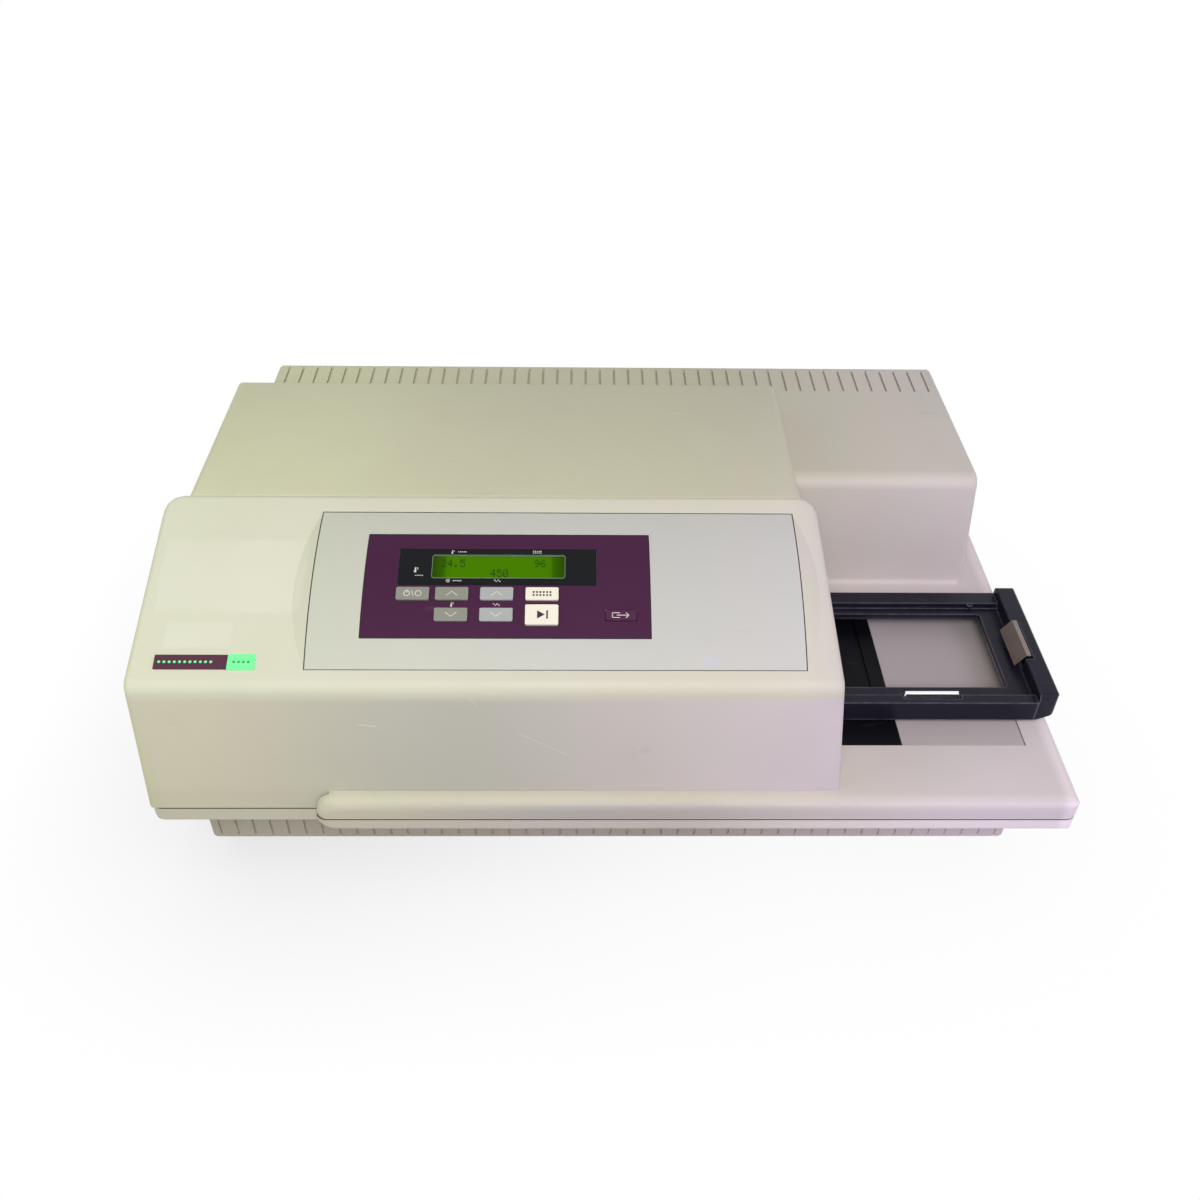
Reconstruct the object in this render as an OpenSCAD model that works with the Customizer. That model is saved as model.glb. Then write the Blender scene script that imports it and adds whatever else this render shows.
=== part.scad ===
// Benchtop microplate reader with a motor-driven plate drawer on its right side.
// Millimetres. Bench frame: x from the left side of the case, y from the foot of
// the hood's front face, z from the bench. place() moves it to the centre of the base.

/* [Case] */
// Width over the lower case
case_w = 580; // [560:1:620]
// Depth from the foot of the hood's front face to the back of the case
case_back = 370; // [360:1:400]
// Wall of the moulded covers
wall = 4; // [3:0.5:4.5]
// Height of the rubber feet
foot_h = 12.5; // [10:0.5:20]
// Diameter of the rubber feet
foot_d = 26; // [20:1:32]
// Height of the ribbed base pan
pan_h = 45.5; // [40:0.5:60]
// Distance of the base pan from the sides of the case
pan_inset = 22.5; // [18:0.5:30]
// Distance of the base pan from the front of the case
pan_front = 22.5; // [18:0.5:30]
// Sheet thickness of the base pan
pan_wall = 2.5; // [2:0.5:3]
// Height of the lower case band
band_h = 11; // [9:0.5:14]
// Height from the seam to the open deck
deck_h = 15.5; // [14:0.5:20]
// Open seam between lower case and covers
seam_gap = 0.9; // [0.4:0.1:1]
// Radius of the case corners in plan
case_r = 8; // [5:0.5:12]
// Radius of the moulded outer edges
edge_r = 4; // [3:0.5:5]
// Draft of the moulded side faces in degrees
draft = 3.5; // [2:0.5:4.5]

/* [Lip] */
// Distance that the front lip stands out
lip_out = 9; // [8.5:0.5:12]
// Start of the lip, measured from the left side
lip_start = 105; // [90:1:140]
// Radius of the lip's upper edge
lip_r = 8; // [6:0.5:8]
// Radius of the lip's lower edge
lip_low_r = 3.5; // [2:0.5:6]
// How far the base's rounded right end stands out
end_out = 2.5; // [0:0.5:4]

/* [Hood] */
// Width of the open deck beside the hood's foot
deck_w = 148.3; // [146:0.1:152]
// Depth of the hood
hood_d = 132.5; // [131:0.5:134]
// Height of the hood's front edge over the deck
hood_front_h = 84.5; // [80:0.5:90]
// Height of the hood's back edge over the deck
hood_back_h = 133; // [132:0.5:140]
// Lean of the hood's front face in degrees
hood_lean = 3.3; // [2:0.1:4]
// Draft of the hood's right face in degrees
hood_draft = 5.9; // [4:0.1:6.5]
// Radius of the hood's front top edge
hood_fillet = 10; // [8:0.5:12]
// Radius of the hood's back corners
hood_corner = 12; // [10:0.5:16]

/* [Rear covers] */
// Height of the high block over the deck
block_h = 128.5; // [120:0.5:130]
// Left face of the high block at its top, from the left side
block_x = 21; // [20:0.5:30]
// Step from the hood's right foot to the high block's right face at its top
block_step = 21.2; // [19:0.1:24]
// Back of the high block, from the hood's front
block_back = 277.5; // [270:0.5:290]
// Height of the rear body over the deck
rear_h = 91; // [88:0.5:100]
// Distance of the rear body from the sides of the case
rear_inset = 21; // [18:0.5:24]
// Front face of the right block, from the hood's front
right_front = 206; // [200:1:215]
// Number of vent slots along the rear top
vent_count = 46; // [20:1:46]
// Distance of the outer vent slots from the rear body's sides
vent_margin = 14.75; // [12:0.25:20]
// Width of a vent slot
vent_w = 1.8; // [1.5:0.1:3]
// Depth of a vent slot
vent_depth = 2.4; // [1:0.1:2.6]
// Length of a vent slot
vent_l = 33; // [20:1:40]
// Number of grooves on the pan's front
groove_count = 47; // [20:1:47]
// Width of a groove on the pan's front
groove_w = 1.4; // [1:0.1:2]
// Depth of a groove on the pan's front
groove_depth = 1.2; // [0.6:0.1:1.6]

/* [Control panel] */
// Width of the control panel
panel_w = 293; // [280:1:300]
// Length of the control panel along the slope
panel_l = 108.5; // [100:0.5:110]
// Rise of the panel's crown over the slope
panel_rise = 7; // [5:0.5:8]
// Distance of the panel's centre to the right of the hood's middle
panel_shift = 39.65; // [37:0.05:41]
// Centre of the panel from the hood's front
panel_y = 67.5; // [66:0.5:69]
// Thickness of the panel
panel_t = 3; // [2.5:0.5:3.5]
// Open gap round the panel
panel_gap = 0.3; // [0.2:0.1:1]
// Width of the ramps that rise to the panel's sides
ramp_w = 12; // [9:0.5:14]
// Width of the keypad overlay
overlay_w = 171; // [168:1:180]
// Length of the keypad overlay
overlay_l = 71; // [70:1:80]
// Thickness of the keypad overlay
overlay_t = 0.6; // [0.4:0.1:0.8]
// Width of the display lens
lens_w = 119; // [110:1:122]
// Length of the display lens
lens_l = 26; // [24:0.5:27]
// Width of the display window
window_w = 80; // [70:1:84]
// Length of the display window
window_l = 16.5; // [14:0.5:18]
// Width of a small key
key_w = 19.6; // [16:0.1:20]
// Length of a small key
key_l = 8.4; // [7:0.1:9]
// Length of the read key
read_l = 12.8; // [11:0.1:13.5]
// Width of the drawer key
drawer_key_w = 18.2; // [16:0.1:20]
// Length of the drawer key
drawer_key_l = 6.8; // [6:0.1:9]
// Height of the key tops over the overlay
key_rise = 0.9; // [0.6:0.1:1.4]
// Travel of a key
key_travel = 0.6; // [0.4:0.1:0.8]
// Free gap round a key
key_gap = 0.3; // [0.3:0.05:0.5]

/* [Badge strip] */
// Left end of the badge strip, from the left side
badge_x = 22; // [18:0.5:30]
// Length of the badge strip
badge_w = 58.5; // [50:0.5:60]
// Length of the strip's end tab
badge_tab_w = 16.1; // [12:0.1:20]
// Height of the badge strip
badge_l = 9.2; // [8:0.1:11]

/* [Drawer] */
// Width of the drawer frame
drawer_w = 112; // [110:0.5:114]
// Front face of the drawer frame, from the hood's front
drawer_y = 60; // [59:0.5:62]
// Gap between deck and drawer
drawer_lift = 2.5; // [2:0.1:4]
// Height of the drawer's rails
rail_h = 15.5; // [15:0.5:16]
// Depth of the plate pocket
pocket_depth = 4.2; // [3:0.1:5]
// Room beside the microplate for the front clip
clip_room = 7.02; // [5:0.01:8]
// Room beyond the microplate for the end clip
end_room = 7.24; // [4:0.01:8]
// Thickness of the pocket's floor
pocket_floor = 4; // [3:0.5:5]
// Width of the light window in the pocket
light_w = 74; // [66:0.5:75]
// Length of the light window in the pocket
light_l = 109.5; // [104:0.5:110]
// Length of the drawer frame with its carriage
drawer_l = 194; // [190:0.5:196]
// Thickness of the drawer's end cap
cap_t = 13; // [10:0.5:14]
// Height of the end cap
cap_h = 22; // [20:0.5:23]
// Travel of the drawer
drawer_travel = 152; // [148:1:153]
// Length of a microplate
plate_l = 127.76; // [127.5:0.01:128]
// Width of a microplate
plate_w = 85.48; // [85.2:0.01:85.7]
// Height of a microplate
plate_h = 14.35; // [14:0.05:14.6]
// Width of the black sill in front of the drawer mouth
sill_w = 46.8; // [40:0.1:60]
// Thickness of sill and deck plate
deck_plate_t = 1.8; // [1.2:0.1:2]

/* [Drive] */
// Diameter of the guide rods
rod_d = 8; // [6:0.5:10]
// Running clearance of the rod blocks
rod_clear = 0.05; // [0.02:0.01:0.1]
// Pitch diameter of the belt pulleys
pulley_d = 15.9; // [14:0.1:18]
// Width of the drive belt
belt_w = 6; // [5:0.5:8]
// Thickness of the drive belt
belt_t = 1.4; // [1:0.1:1.8]
// Side of the square motor body
motor_w = 42; // [39:1:44]
// Height of the motor body
motor_h = 34; // [28:1:36]
// Distance of the rods' right ends from the hood's right foot
rod_end = 22.7; // [21:0.1:30]
// Diameter of the motor shaft
motor_shaft = 5; // [4:0.5:6]

/* [Optics and electronics] */
// Thickness of the chassis plate
chassis_t = 3; // [2:0.5:4]
// Width of the lamp housing
lamp_w = 52; // [46:0.5:57]
// Length of the lamp housing
lamp_l = 78; // [70:0.5:85]
// Height of the lamp housing
lamp_h = 74; // [66:0.5:80]
// Diameter of the filter wheel
wheel_d = 74; // [70:1:76]
// Number of filters in the wheel
filter_count = 8; // [6:1:10]
// Length of the monochromator
mono_l = 118; // [106:1:119]
// Height of the monochromator
mono_h = 80; // [72:1:88]
// Thickness of a heater plate
heater_t = 3; // [2:0.5:3.5]
// Number of light channels
channel_count = 8; // [8:1:8]
// Pitch of the light channels
channel_pitch = 9; // [9:0.1:9]
// Length of the main board
board_l = 204; // [180:1:220]
// Width of the main board
board_w = 162; // [146:1:178]
// Length of the power supply
supply_l = 170; // [150:1:187]
// Width of the power supply
supply_w = 68; // [60:1:75]
// Height of the power supply
supply_h = 36; // [30:0.5:38]
// Side of the square fan frame
fan_w = 60; // [55:1:64]
// Depth of the fan frame
fan_d = 25; // [20:1:28]
// Number of fan blades
blade_count = 7; // [5:1:9]
// Thickness of the rear panel's sheet
rear_sheet = 1.5; // [1:0.1:2]
// Diameter of the case screws' heads
screw_head = 7; // [6:0.1:8]

/* [Hidden] */
$fn = 48;

seat = 0.3;
over = 1;
smooth = 24;

// heights
pan_z = foot_h;
band_z = pan_z + pan_h;
seam_z = band_z + band_h;
deck_z = seam_z + deck_h;
front_top_z = deck_z + hood_front_h;
back_top_z = deck_z + hood_back_h;
block_z = deck_z + block_h;
rear_z = deck_z + rear_h;
chassis_z = band_z + pan_wall + 0.5;
chassis_top = chassis_z + chassis_t;

// widths that follow the case
hood_w = case_w - deck_w;
end_x = case_w + end_out;
block_w = hood_w - block_step - block_x;
panel_x = hood_w / 2 + panel_shift;
vent_pitch = (case_w - 2 * (rear_inset + vent_margin)) / (vent_count - 1);
groove_pitch = (case_w - 2 * pan_inset - 15.2) / (groove_count - 1);

// hood planes
lean_t = tan(hood_lean);
draft_t = tan(draft);
front_top_y = (front_top_z - seam_z) * lean_t;
slope = atan2(back_top_z - front_top_z, hood_d - front_top_y);
function hood_plane(y) = front_top_z + (y - front_top_y) * tan(slope);
function hood_left(z) = (z - seam_z) * draft_t;
function hood_right(z) = hood_w - (z - deck_z) * tan(hood_draft);
function hood_front(z) = (z - seam_z) * lean_t;
function block_left(z) = block_x - (block_z - z) * draft_t;
function block_right(z) = block_x + block_w + (block_z - z) * draft_t;
function block_rear(z) = block_back + (block_z - z) * draft_t;
function rear_side(z) = rear_inset + (z - deck_z) * draft_t;
function right_face(z) = right_front + (z - deck_z) * lean_t;

// lip
lip_half = (deck_z - band_z) / 2;
lip_z = band_z + lip_half;
lip_round_x = lip_start + lip_half;
skirt_end = lip_start + 9;

// control panel crown
crown_r = (panel_l * panel_l / 4 + panel_rise * panel_rise) / (2 * panel_rise);
ramp_tilt = atan2(panel_rise, ramp_w);
ramp_sag = panel_rise * cos(ramp_tilt);
ramp_r = (panel_l * panel_l / 4 + ramp_sag * ramp_sag) / (2 * ramp_sag);
overlay_x = -30;
lens_x = -36;
lens_y = 11.5;
window_x = -35.5;
// key centres: across and up the crown, in panel arc lengths
key_temp_x = -62.7;
key_switch_x = -86;
key_wave_x = -36;
key_read_x = -9;
key_drawer_x = 38;
key_row1 = -7.6;
key_row2 = -21.2;
key_read_y = -21.4;
key_depth = panel_t;
board_gap = key_travel + seat;

// drawer
frame_z = deck_z + drawer_lift;
rail_z = frame_z + rail_h;
pocket_z = rail_z - pocket_depth;
cap_x = end_x - cap_t;
drawer_back = drawer_y + drawer_w;
pocket_w = plate_w + clip_room;
pocket_l = plate_l + end_room;
pocket_y = drawer_y + 7.8;
pocket_x = cap_x - pocket_l;
frame_x = cap_x - drawer_l;
light_x = cap_x - 14.5 - light_l;
light_y = pocket_y + 11.2;
ledge_w = 2.6;
ledge_h = 1.5;
mouth_z = pocket_z + plate_h + 3;
mouth_gap = 3;
mouth_x0 = block_right(block_z) - 16;
clip_y = drawer_y + 54.5;
clip_w = 36;
peg_x = cap_x - 20.5;
peg_d = 4.4;
front_clip_x = cap_x - 87.5;
front_clip_l = 37;
front_clip_y = pocket_y + 2.4;

// deck recess
recess_y0 = drawer_y - 20.7;
recess_y1 = drawer_back + 8;
recess_x1 = cap_x - 10;
recess_depth = 2.2;
sill_end = hood_w + sill_w;

// drive
rod_z = frame_z + 7.6;
block_half = 7;
rod_front_y = drawer_y - block_half;
rod_back_y = drawer_back + block_half;
block_len = 24;
bracket_t = 6;
rod_x1 = hood_w - rod_end;
carriage_x = rod_x1 - bracket_t - 3.5 - block_len;
rod_x0 = carriage_x - drawer_travel - bracket_t - 12.5;
belt_y = drawer_back + 42;
motor_x = rod_x0 - 15;
idler_x = rod_x1 - 13;
belt_z = rod_z + 1.5;
belt_near = belt_y - pulley_d / 2;

// optics
head_x = rod_x0 + 99;
head_y = drawer_y + 56;
head_half = 33;
wheel_x = 110;
wheel_y = 128;
wheel_z = chassis_top + 44;
filter_ring = wheel_d / 2 - 7;
lamp_x = wheel_x - filter_ring;
lamp_x1 = wheel_x - 14;
lamp_y1 = wheel_y - 8;
mono_x = 36;
mono_y = wheel_y + 10;
mono_w = motor_x - motor_w / 2 - 3 - mono_x;
mono_z = chassis_top;
grating_x = mono_x + mono_w - 46;
grating_y = mono_y + 66;
heater_z = deck_z - 4.5;
heater_top = mouth_z + 1.5;

// boards and supply
board_x = 58;
board_y = 52;
supply_x1 = board_x + board_l + 38 + supply_l;
supply_y = 60;

// rear panel
rear_x0 = rear_inset + 89;
rear_x1 = case_w - 125;
rear_low = deck_z + 7.5;
rear_high = rear_z - 13.5;
rear_mid = (rear_low + rear_high) / 2;
fan_x = rear_x1 - 55;
rear_face = case_back - wall;
inlet_x = rear_x0 + 30;
switch_x = rear_x0 + 80;
port_x = rear_x0 + 135;

module place() {
  translate([-end_x / 2, (lip_out - case_back) / 2, 0]) children();
}

// cube between two corners
module block(a, b) {
  translate(a) cube(b - a);
}

// profile (y, z) drawn out along x
module along_x(x0, x1) {
  translate([x0, 0, 0]) rotate([90, 0, 90]) linear_extrude(x1 - x0) children();
}

// profile (x, z) drawn out along y
module along_y(y0, y1) {
  translate([0, y1, 0]) rotate([90, 0, 0]) linear_extrude(y1 - y0) children();
}

module round_rect(a, b, r) {
  translate([a.x + r, a.y]) square([b.x - a.x - 2 * r, b.y - a.y]);
  translate([a.x, a.y + r]) square([b.x - a.x, b.y - a.y - 2 * r]);
  for (x = [a.x + r, b.x - r], y = [a.y + r, b.y - r]) translate([x, y]) circle(r);
}

module round_block(a, b, r) {
  translate([0, 0, a.z]) linear_extrude(b.z - a.z) round_rect([a.x, a.y], [b.x, b.y], r);
}

module round_block_y(a, b, r) {
  along_y(a.y, b.y) round_rect([a.x, a.z], [b.x, b.z], r);
}

// wheel with a rounded rim, centred on its axis
module rim_disc(r, e) {
  rotate_extrude($fn = smooth) {
    translate([0, -e]) square([r - e, 2 * e]);
    intersection() {
      translate([r - e, 0]) circle(e, $fn = smooth);
      translate([0, -e]) square([r, 2 * e]);
    }
  }
}

// panel frame: x across, y up the slope, z out of the slope
module on_slope() {
  translate([panel_x, panel_y, hood_plane(panel_y)]) rotate([slope, 0, 0]) children();
}

// a spot on the crown, v up the crown, z along its normal
module on_crown(u, v) {
  on_slope() translate([u, 0, panel_rise - crown_r]) rotate([-v / crown_r * 180 / PI, 0, 0])
    translate([0, 0, crown_r]) children();
}

// layer of the crowned sheet between two depths under its face
module crown_layer(x0, x1, y0, y1, top, bottom) {
  on_slope() intersection() {
    translate([x0, 0, panel_rise - crown_r]) rotate([0, 90, 0]) difference() {
      cylinder(r = crown_r - top, h = x1 - x0, $fn = 96);
      translate([0, 0, -over]) cylinder(r = crown_r - bottom, h = x1 - x0 + 2 * over, $fn = 96);
    }
    block([x0 - over, y0, -30], [x1 + over, y1, 30]);
  }
}

// ---------------------------------------------------------------- casings

// half profile of the lip: distance from its axis against how far it stands out
module lip_section(r) {
  square([lip_half, lip_out - r]);
  square([lip_half - r, lip_out]);
  intersection() {
    translate([lip_half - r, lip_out - r]) circle(r);
    square([lip_half, lip_out]);
  }
}

// outline of the base from the front, its right end rounded as the lip is
module base_outline(r) {
  round_rect([0, band_z], [end_x - lip_out, deck_z], edge_r);
  translate([lip_round_x, band_z]) square([end_x - lip_out - lip_round_x, 2 * lip_half]);
  translate([end_x - lip_out, lip_z]) {
    mirror([1, -1]) lip_section(r);
    rotate([0, 0, -90]) lip_section(r);
  }
}

// whole base body between band and deck, lip included
module base_body(r) {
  intersection() {
    union() {
      along_x(lip_round_x, end_x) translate([0, lip_z]) rotate([0, 0, 90]) {
        lip_section(r);
        mirror([1, 0]) lip_section(r);
      }
      translate([lip_round_x, 0, lip_z]) rotate([90, 0, 0]) rotate_extrude() lip_section(r);
      block([0, 0, band_z], [end_x, case_back, deck_z]);
    }
    along_y(-lip_out - over, case_back + over) base_outline(r);
    union() {
      round_block([lip_start - over, -lip_out, band_z], [end_x, case_back, deck_z], case_r);
      round_block([0, 0, band_z], [case_w / 2, case_back, deck_z], case_r);
    }
  }
}

module lower_case() place() color([0.80, 0.77, 0.70]) {
  difference() {
    intersection() {
      base_body(lip_low_r);
      block([-over, -lip_out - over, band_z], [end_x + over, case_back + over, seam_z - seam_gap / 2]);
    }
    round_block([wall, wall, band_z + 3], [end_x - wall, case_back - wall, seam_z + over], case_r);
    block([lip_round_x, -lip_out + wall, band_z + 3 + lip_r / 2],
      [case_w - case_r, wall + over, seam_z + over]);
    round_block([pan_inset + 12, pan_front + 12, band_z - over],
      [case_w - pan_inset - 12, case_back - 27, band_z + 3 + over], case_r);
    for (p = case_screw_spots()) translate([p.x, p.y, band_z - over]) cylinder(d = 4.2, h = 5);
  }
}

function case_screw_spots() = [
  for (x = [pan_inset + 6.5, case_w / 2, case_w - pan_inset - 6.5],
    y = [pan_front + 6.5, case_back - 21.5]) [x, y]];

// balls along the fillet from the hood's front face to its top
module fillet_balls(x) {
  cy = hood_front(front_top_z) + hood_fillet;
  cz = hood_plane(cy) - hood_fillet / cos(slope);
  a0 = 180 - hood_lean;
  for (t = [0 : 0.25 : 1]) {
    a = a0 + (90 + slope - a0) * t;
    translate([x, cy + (hood_fillet - edge_r) * cos(a), cz + (hood_fillet - edge_r) * sin(a)])
      sphere(edge_r, $fn = smooth);
  }
}

// balls round the top of a back corner
module corner_balls(left) {
  r = hood_corner - edge_r;
  for (a = [0 : 30 : 90]) {
    y = hood_d - hood_corner + r * sin(a);
    z = hood_plane(y) - edge_r / cos(slope);
    x = left ? hood_left(z) + hood_corner - r * cos(a) : hood_right(z) - hood_corner + r * cos(a);
    translate([x, y, z]) sphere(edge_r, $fn = smooth);
  }
}

module hood_outer() {
  fz = front_top_z - hood_fillet;
  hull() {
    fillet_balls(hood_left(fz) + edge_r);
    fillet_balls(hood_right(fz) - edge_r);
    corner_balls(true);
    corner_balls(false);
    for (x = [edge_r, hood_right(seam_z) - edge_r])
      translate([x, edge_r, seam_z]) cylinder(r = edge_r, h = 0.5, $fn = smooth);
    for (x = [hood_corner, hood_right(seam_z) - hood_corner])
      translate([x, hood_d - hood_corner, seam_z]) cylinder(r = hood_corner, h = 0.5, $fn = smooth);
  }
}

// room inside the hood, all walls one thickness
module hood_inner() {
  in_z = seam_z - over;
  intersection() {
    along_x(wall / 2, hood_w) polygon([
      [hood_front(in_z) + wall, in_z],
      [hood_d - wall, in_z],
      [hood_d - wall, hood_plane(hood_d - wall) - wall / cos(slope)],
      [front_top_y + wall + 2, hood_plane(front_top_y + wall + 2) - wall / cos(slope)],
      [hood_front(front_top_z - 6) + wall, front_top_z - 8]]);
    along_y(0, hood_d) polygon([
      [hood_left(in_z) + wall, in_z],
      [hood_right(in_z) - wall, in_z],
      [hood_right(back_top_z) - wall, back_top_z],
      [hood_left(back_top_z) + wall, back_top_z]]);
  }
}

// crescent ramp beside the panel, the flank of a tilted cylinder
module side_ramp(side) {
  on_slope() mirror([side < 0 ? 1 : 0, 0, 0]) intersection() {
    translate([panel_w / 2 + panel_gap / 2, 0, panel_rise]) rotate([0, ramp_tilt, 0])
      translate([-40, 0, -ramp_r]) rotate([0, 90, 0]) cylinder(r = ramp_r, h = 80, $fn = 96);
    block([panel_w / 2 + panel_gap / 2, -panel_l / 2, -wall / 2],
      [panel_w / 2 + ramp_w + 1, panel_l / 2, panel_rise + 1]);
  }
}

module front_hood() place() color([0.84, 0.81, 0.72]) {
  hood_shell();
  // seats under the panel's upper and lower edge
  for (s = [0, 1]) on_slope() mirror([0, s, 0])
    block([-panel_w / 2 + 18, panel_l / 2 - 5, -panel_t - 4],
      [panel_w / 2 - 18, panel_l / 2 + 4, -panel_t - seat]);
}

module hood_shell() difference() {
  union() {
    hood_outer();
    side_ramp(-1);
    side_ramp(1);
  }
  hood_inner();
  // opening for the control panel
  on_slope() block([-panel_w / 2 - panel_gap, -panel_l / 2 - panel_gap, -wall - 3],
    [panel_w / 2 + panel_gap, panel_l / 2 + panel_gap, panel_rise + 3]);
  // the foot stands on the seam at the left and on the deck behind the lip
  block([-over, -over, seam_z - over], [case_w, hood_d + over, seam_z + seam_gap / 2]);
  block([skirt_end, -over, seam_z - over], [case_w, hood_d + over, deck_z]);
  block([hood_w - 40, wall + 4, seam_z - over], [case_w, hood_d + over, deck_z]);
  // back opening towards the high block
  block([block_left(block_z) + 12, hood_d - wall - over, seam_z - over],
    [block_right(block_z) - 12, hood_d + over, block_z - 12]);
  // drawer mouth
  block([mouth_x0, drawer_y - mouth_gap, deck_z - over], [hood_w + over, hood_d + over, mouth_z]);
}

module rear_outer() {
  e = edge_r;
  fy = right_face(rear_z) + hood_fillet;
  fz = rear_z - hood_fillet;
  bz = rear_z - e;
  hull() {
    for (x = [rear_side(fz) + e, case_w - rear_side(fz) - e])
      translate([x, fy, fz]) rotate([0, 90, 0]) rim_disc(hood_fillet, e);
    for (x = [rear_side(bz) + e, case_w - rear_side(bz) - e])
      translate([x, case_back - e, bz]) sphere(e, $fn = smooth);
    for (x = [rear_side(deck_z) + e, case_w - rear_side(deck_z) - e], y = [right_front + e, case_back - e])
      translate([x, y, deck_z - over]) cylinder(r = e, h = over, $fn = smooth);
  }
}

module block_outer() {
  e = edge_r;
  tz = block_z - e;
  hull() {
    for (x = [block_left(tz) + e, block_right(tz) - e], y = [hood_d + seat + e, block_rear(tz) - e])
      translate([x, y, tz]) sphere(e, $fn = smooth);
    for (x = [block_left(deck_z) + e, block_right(deck_z) - e],
      y = [hood_d + seat + e, block_rear(deck_z) - e])
      translate([x, y, deck_z - over]) cylinder(r = e, h = over, $fn = smooth);
    block([block_left(tz) + 20, hood_d + seat, deck_z], [block_right(tz) - 20, hood_d + seat + 1, tz]);
  }
}

// hollow fillet profile with its corner at the origin
module cove(r) {
  difference() {
    translate([-0.2, -0.2]) square([r + 0.2, r + 0.2]);
    translate([r, r]) circle(r);
  }
}

module cover_inner() {
  low = seam_z - over;
  // room under the high block
  along_y(hood_d - over, block_back - wall) polygon([
    [block_left(low) + wall, low],
    [block_right(low) - wall, low],
    [block_right(block_z) - wall, block_z - wall],
    [block_left(block_z) + wall, block_z - wall]]);
  // room under the rear body
  along_y(right_face(rear_z) + wall, case_back - wall) polygon([
    [rear_side(low) + wall, low],
    [case_w - rear_side(low) - wall, low],
    [case_w - rear_side(rear_z) - wall, rear_z - wall],
    [rear_side(rear_z) + wall, rear_z - wall]]);
  // room under the deck
  round_block([wall, wall, low], [end_x - wall, case_back - wall, deck_z - wall], case_r);
}

module upper_cover() place() color([0.80, 0.77, 0.71]) difference() {
  union() {
    intersection() {
      base_body(lip_r);
      block([-over, -lip_out - over, seam_z + seam_gap / 2],
        [end_x + over, case_back + over, deck_z + over]);
    }
    rear_outer();
    block_outer();
    // coves where the blocks rise
    translate([block_right(rear_z), 0, rear_z])
      along_y(right_face(rear_z) + hood_fillet, block_rear(rear_z)) cove(6);
    translate([0, right_front, deck_z])
      along_x(block_right(deck_z) - 6, case_w - rear_side(deck_z) - edge_r)
      mirror([1, 0]) cove(4);
  }
  cover_inner();
  // well under the hood, open at the left where the hood's skirt reaches the seam
  block([-over, -over, seam_z - over], [skirt_end + seat, hood_d + seat, deck_z + over]);
  block([skirt_end, 10, seam_z - over], [hood_w - 16, hood_d + over, deck_z + over]);
  // recess for sill and deck plate
  block([hood_w - 17, recess_y0, deck_z - recess_depth], [recess_x1, recess_y1, deck_z + over]);
  // drawer mouth
  block([mouth_x0, hood_d - over, deck_z - over], [hood_w + over, drawer_back + mouth_gap, mouth_z]);
  // vent slots along the rear top
  for (i = [0 : vent_count - 1])
    translate([case_w / 2 + (i - (vent_count - 1) / 2) * vent_pitch, 0, 0])
      block([-vent_w / 2, case_back - 5 - vent_l, rear_z - vent_depth],
        [vent_w / 2, case_back - 5, rear_z + over]);
  // opening for the rear panel
  round_block_y([rear_x0, case_back - wall - over, rear_low], [rear_x1, case_back + over, rear_high], 3);
}

module base_pan() place() color([0.72, 0.69, 0.63]) {
  x0 = pan_inset;
  x1 = case_w - pan_inset;
  y0 = pan_front;
  y1 = case_back - 15;
  difference() {
    round_block([x0, y0, pan_z], [x1, y1, band_z], 5);
    difference() {
      round_block([x0 + pan_wall, y0 + pan_wall, pan_z + pan_wall],
        [x1 - pan_wall, y1 - pan_wall, band_z + over], 3);
      for (p = case_screw_spots()) translate([p.x, p.y, pan_z]) cylinder(d = 10, h = pan_h);
    }
    // grooves down the front
    for (i = [0 : groove_count - 1])
      translate([case_w / 2 + (i - (groove_count - 1) / 2) * groove_pitch, 0, 0])
        block([-groove_w / 2, y0 - over, pan_z + 2], [groove_w / 2, y0 + groove_depth, band_z + over]);
    // air slots in the floor
    for (i = [0 : 11], y = [140, 250])
      translate([case_w - 250 + i * 14, y, pan_z - over]) cube([3, 60, pan_wall + 2 * over]);
    for (p = case_screw_spots()) translate([p.x, p.y, pan_z - over]) {
      cylinder(d = 4.4, h = pan_h + 2 * over);
      cylinder(d = screw_head + 0.8, h = 6 + over);
    }
  }
  // standoffs for board and supply
  for (p = board_spots()) translate([p.x, p.y, pan_z + pan_wall]) cylinder(d = 7, h = 6);
}

function board_spots() = [
  for (x = [board_x + 8, board_x + board_l - 8], y = [board_y + 8, board_y + board_w - 8]) [x, y]];
function foot_spots() = [for (x = [60, case_w - 60], y = [52, case_back - 50]) [x, y]];

module rubber_feet() place() color([0.08, 0.08, 0.08])
  for (p = foot_spots()) translate([p.x, p.y, 0]) {
    cylinder(d1 = foot_d - 4, d2 = foot_d, h = 5);
    translate([0, 0, 5]) cylinder(d = foot_d, h = foot_h - 5);
  }

module case_screws() place() color([0.75, 0.75, 0.76]) {
  for (p = case_screw_spots()) translate([p.x, p.y, pan_z]) {
    translate([0, 0, 3]) cylinder(d = screw_head, h = 3);
    translate([0, 0, 5]) cylinder(d = 4, h = pan_h - 4);
  }
  for (x = [rear_x0 + 7, rear_x1 - 7], z = [rear_low + 7, rear_high - 7])
    translate([x, rear_face, z]) rotate([-90, 0, 0]) cylinder(d = screw_head - 1, h = 2);
}

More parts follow.
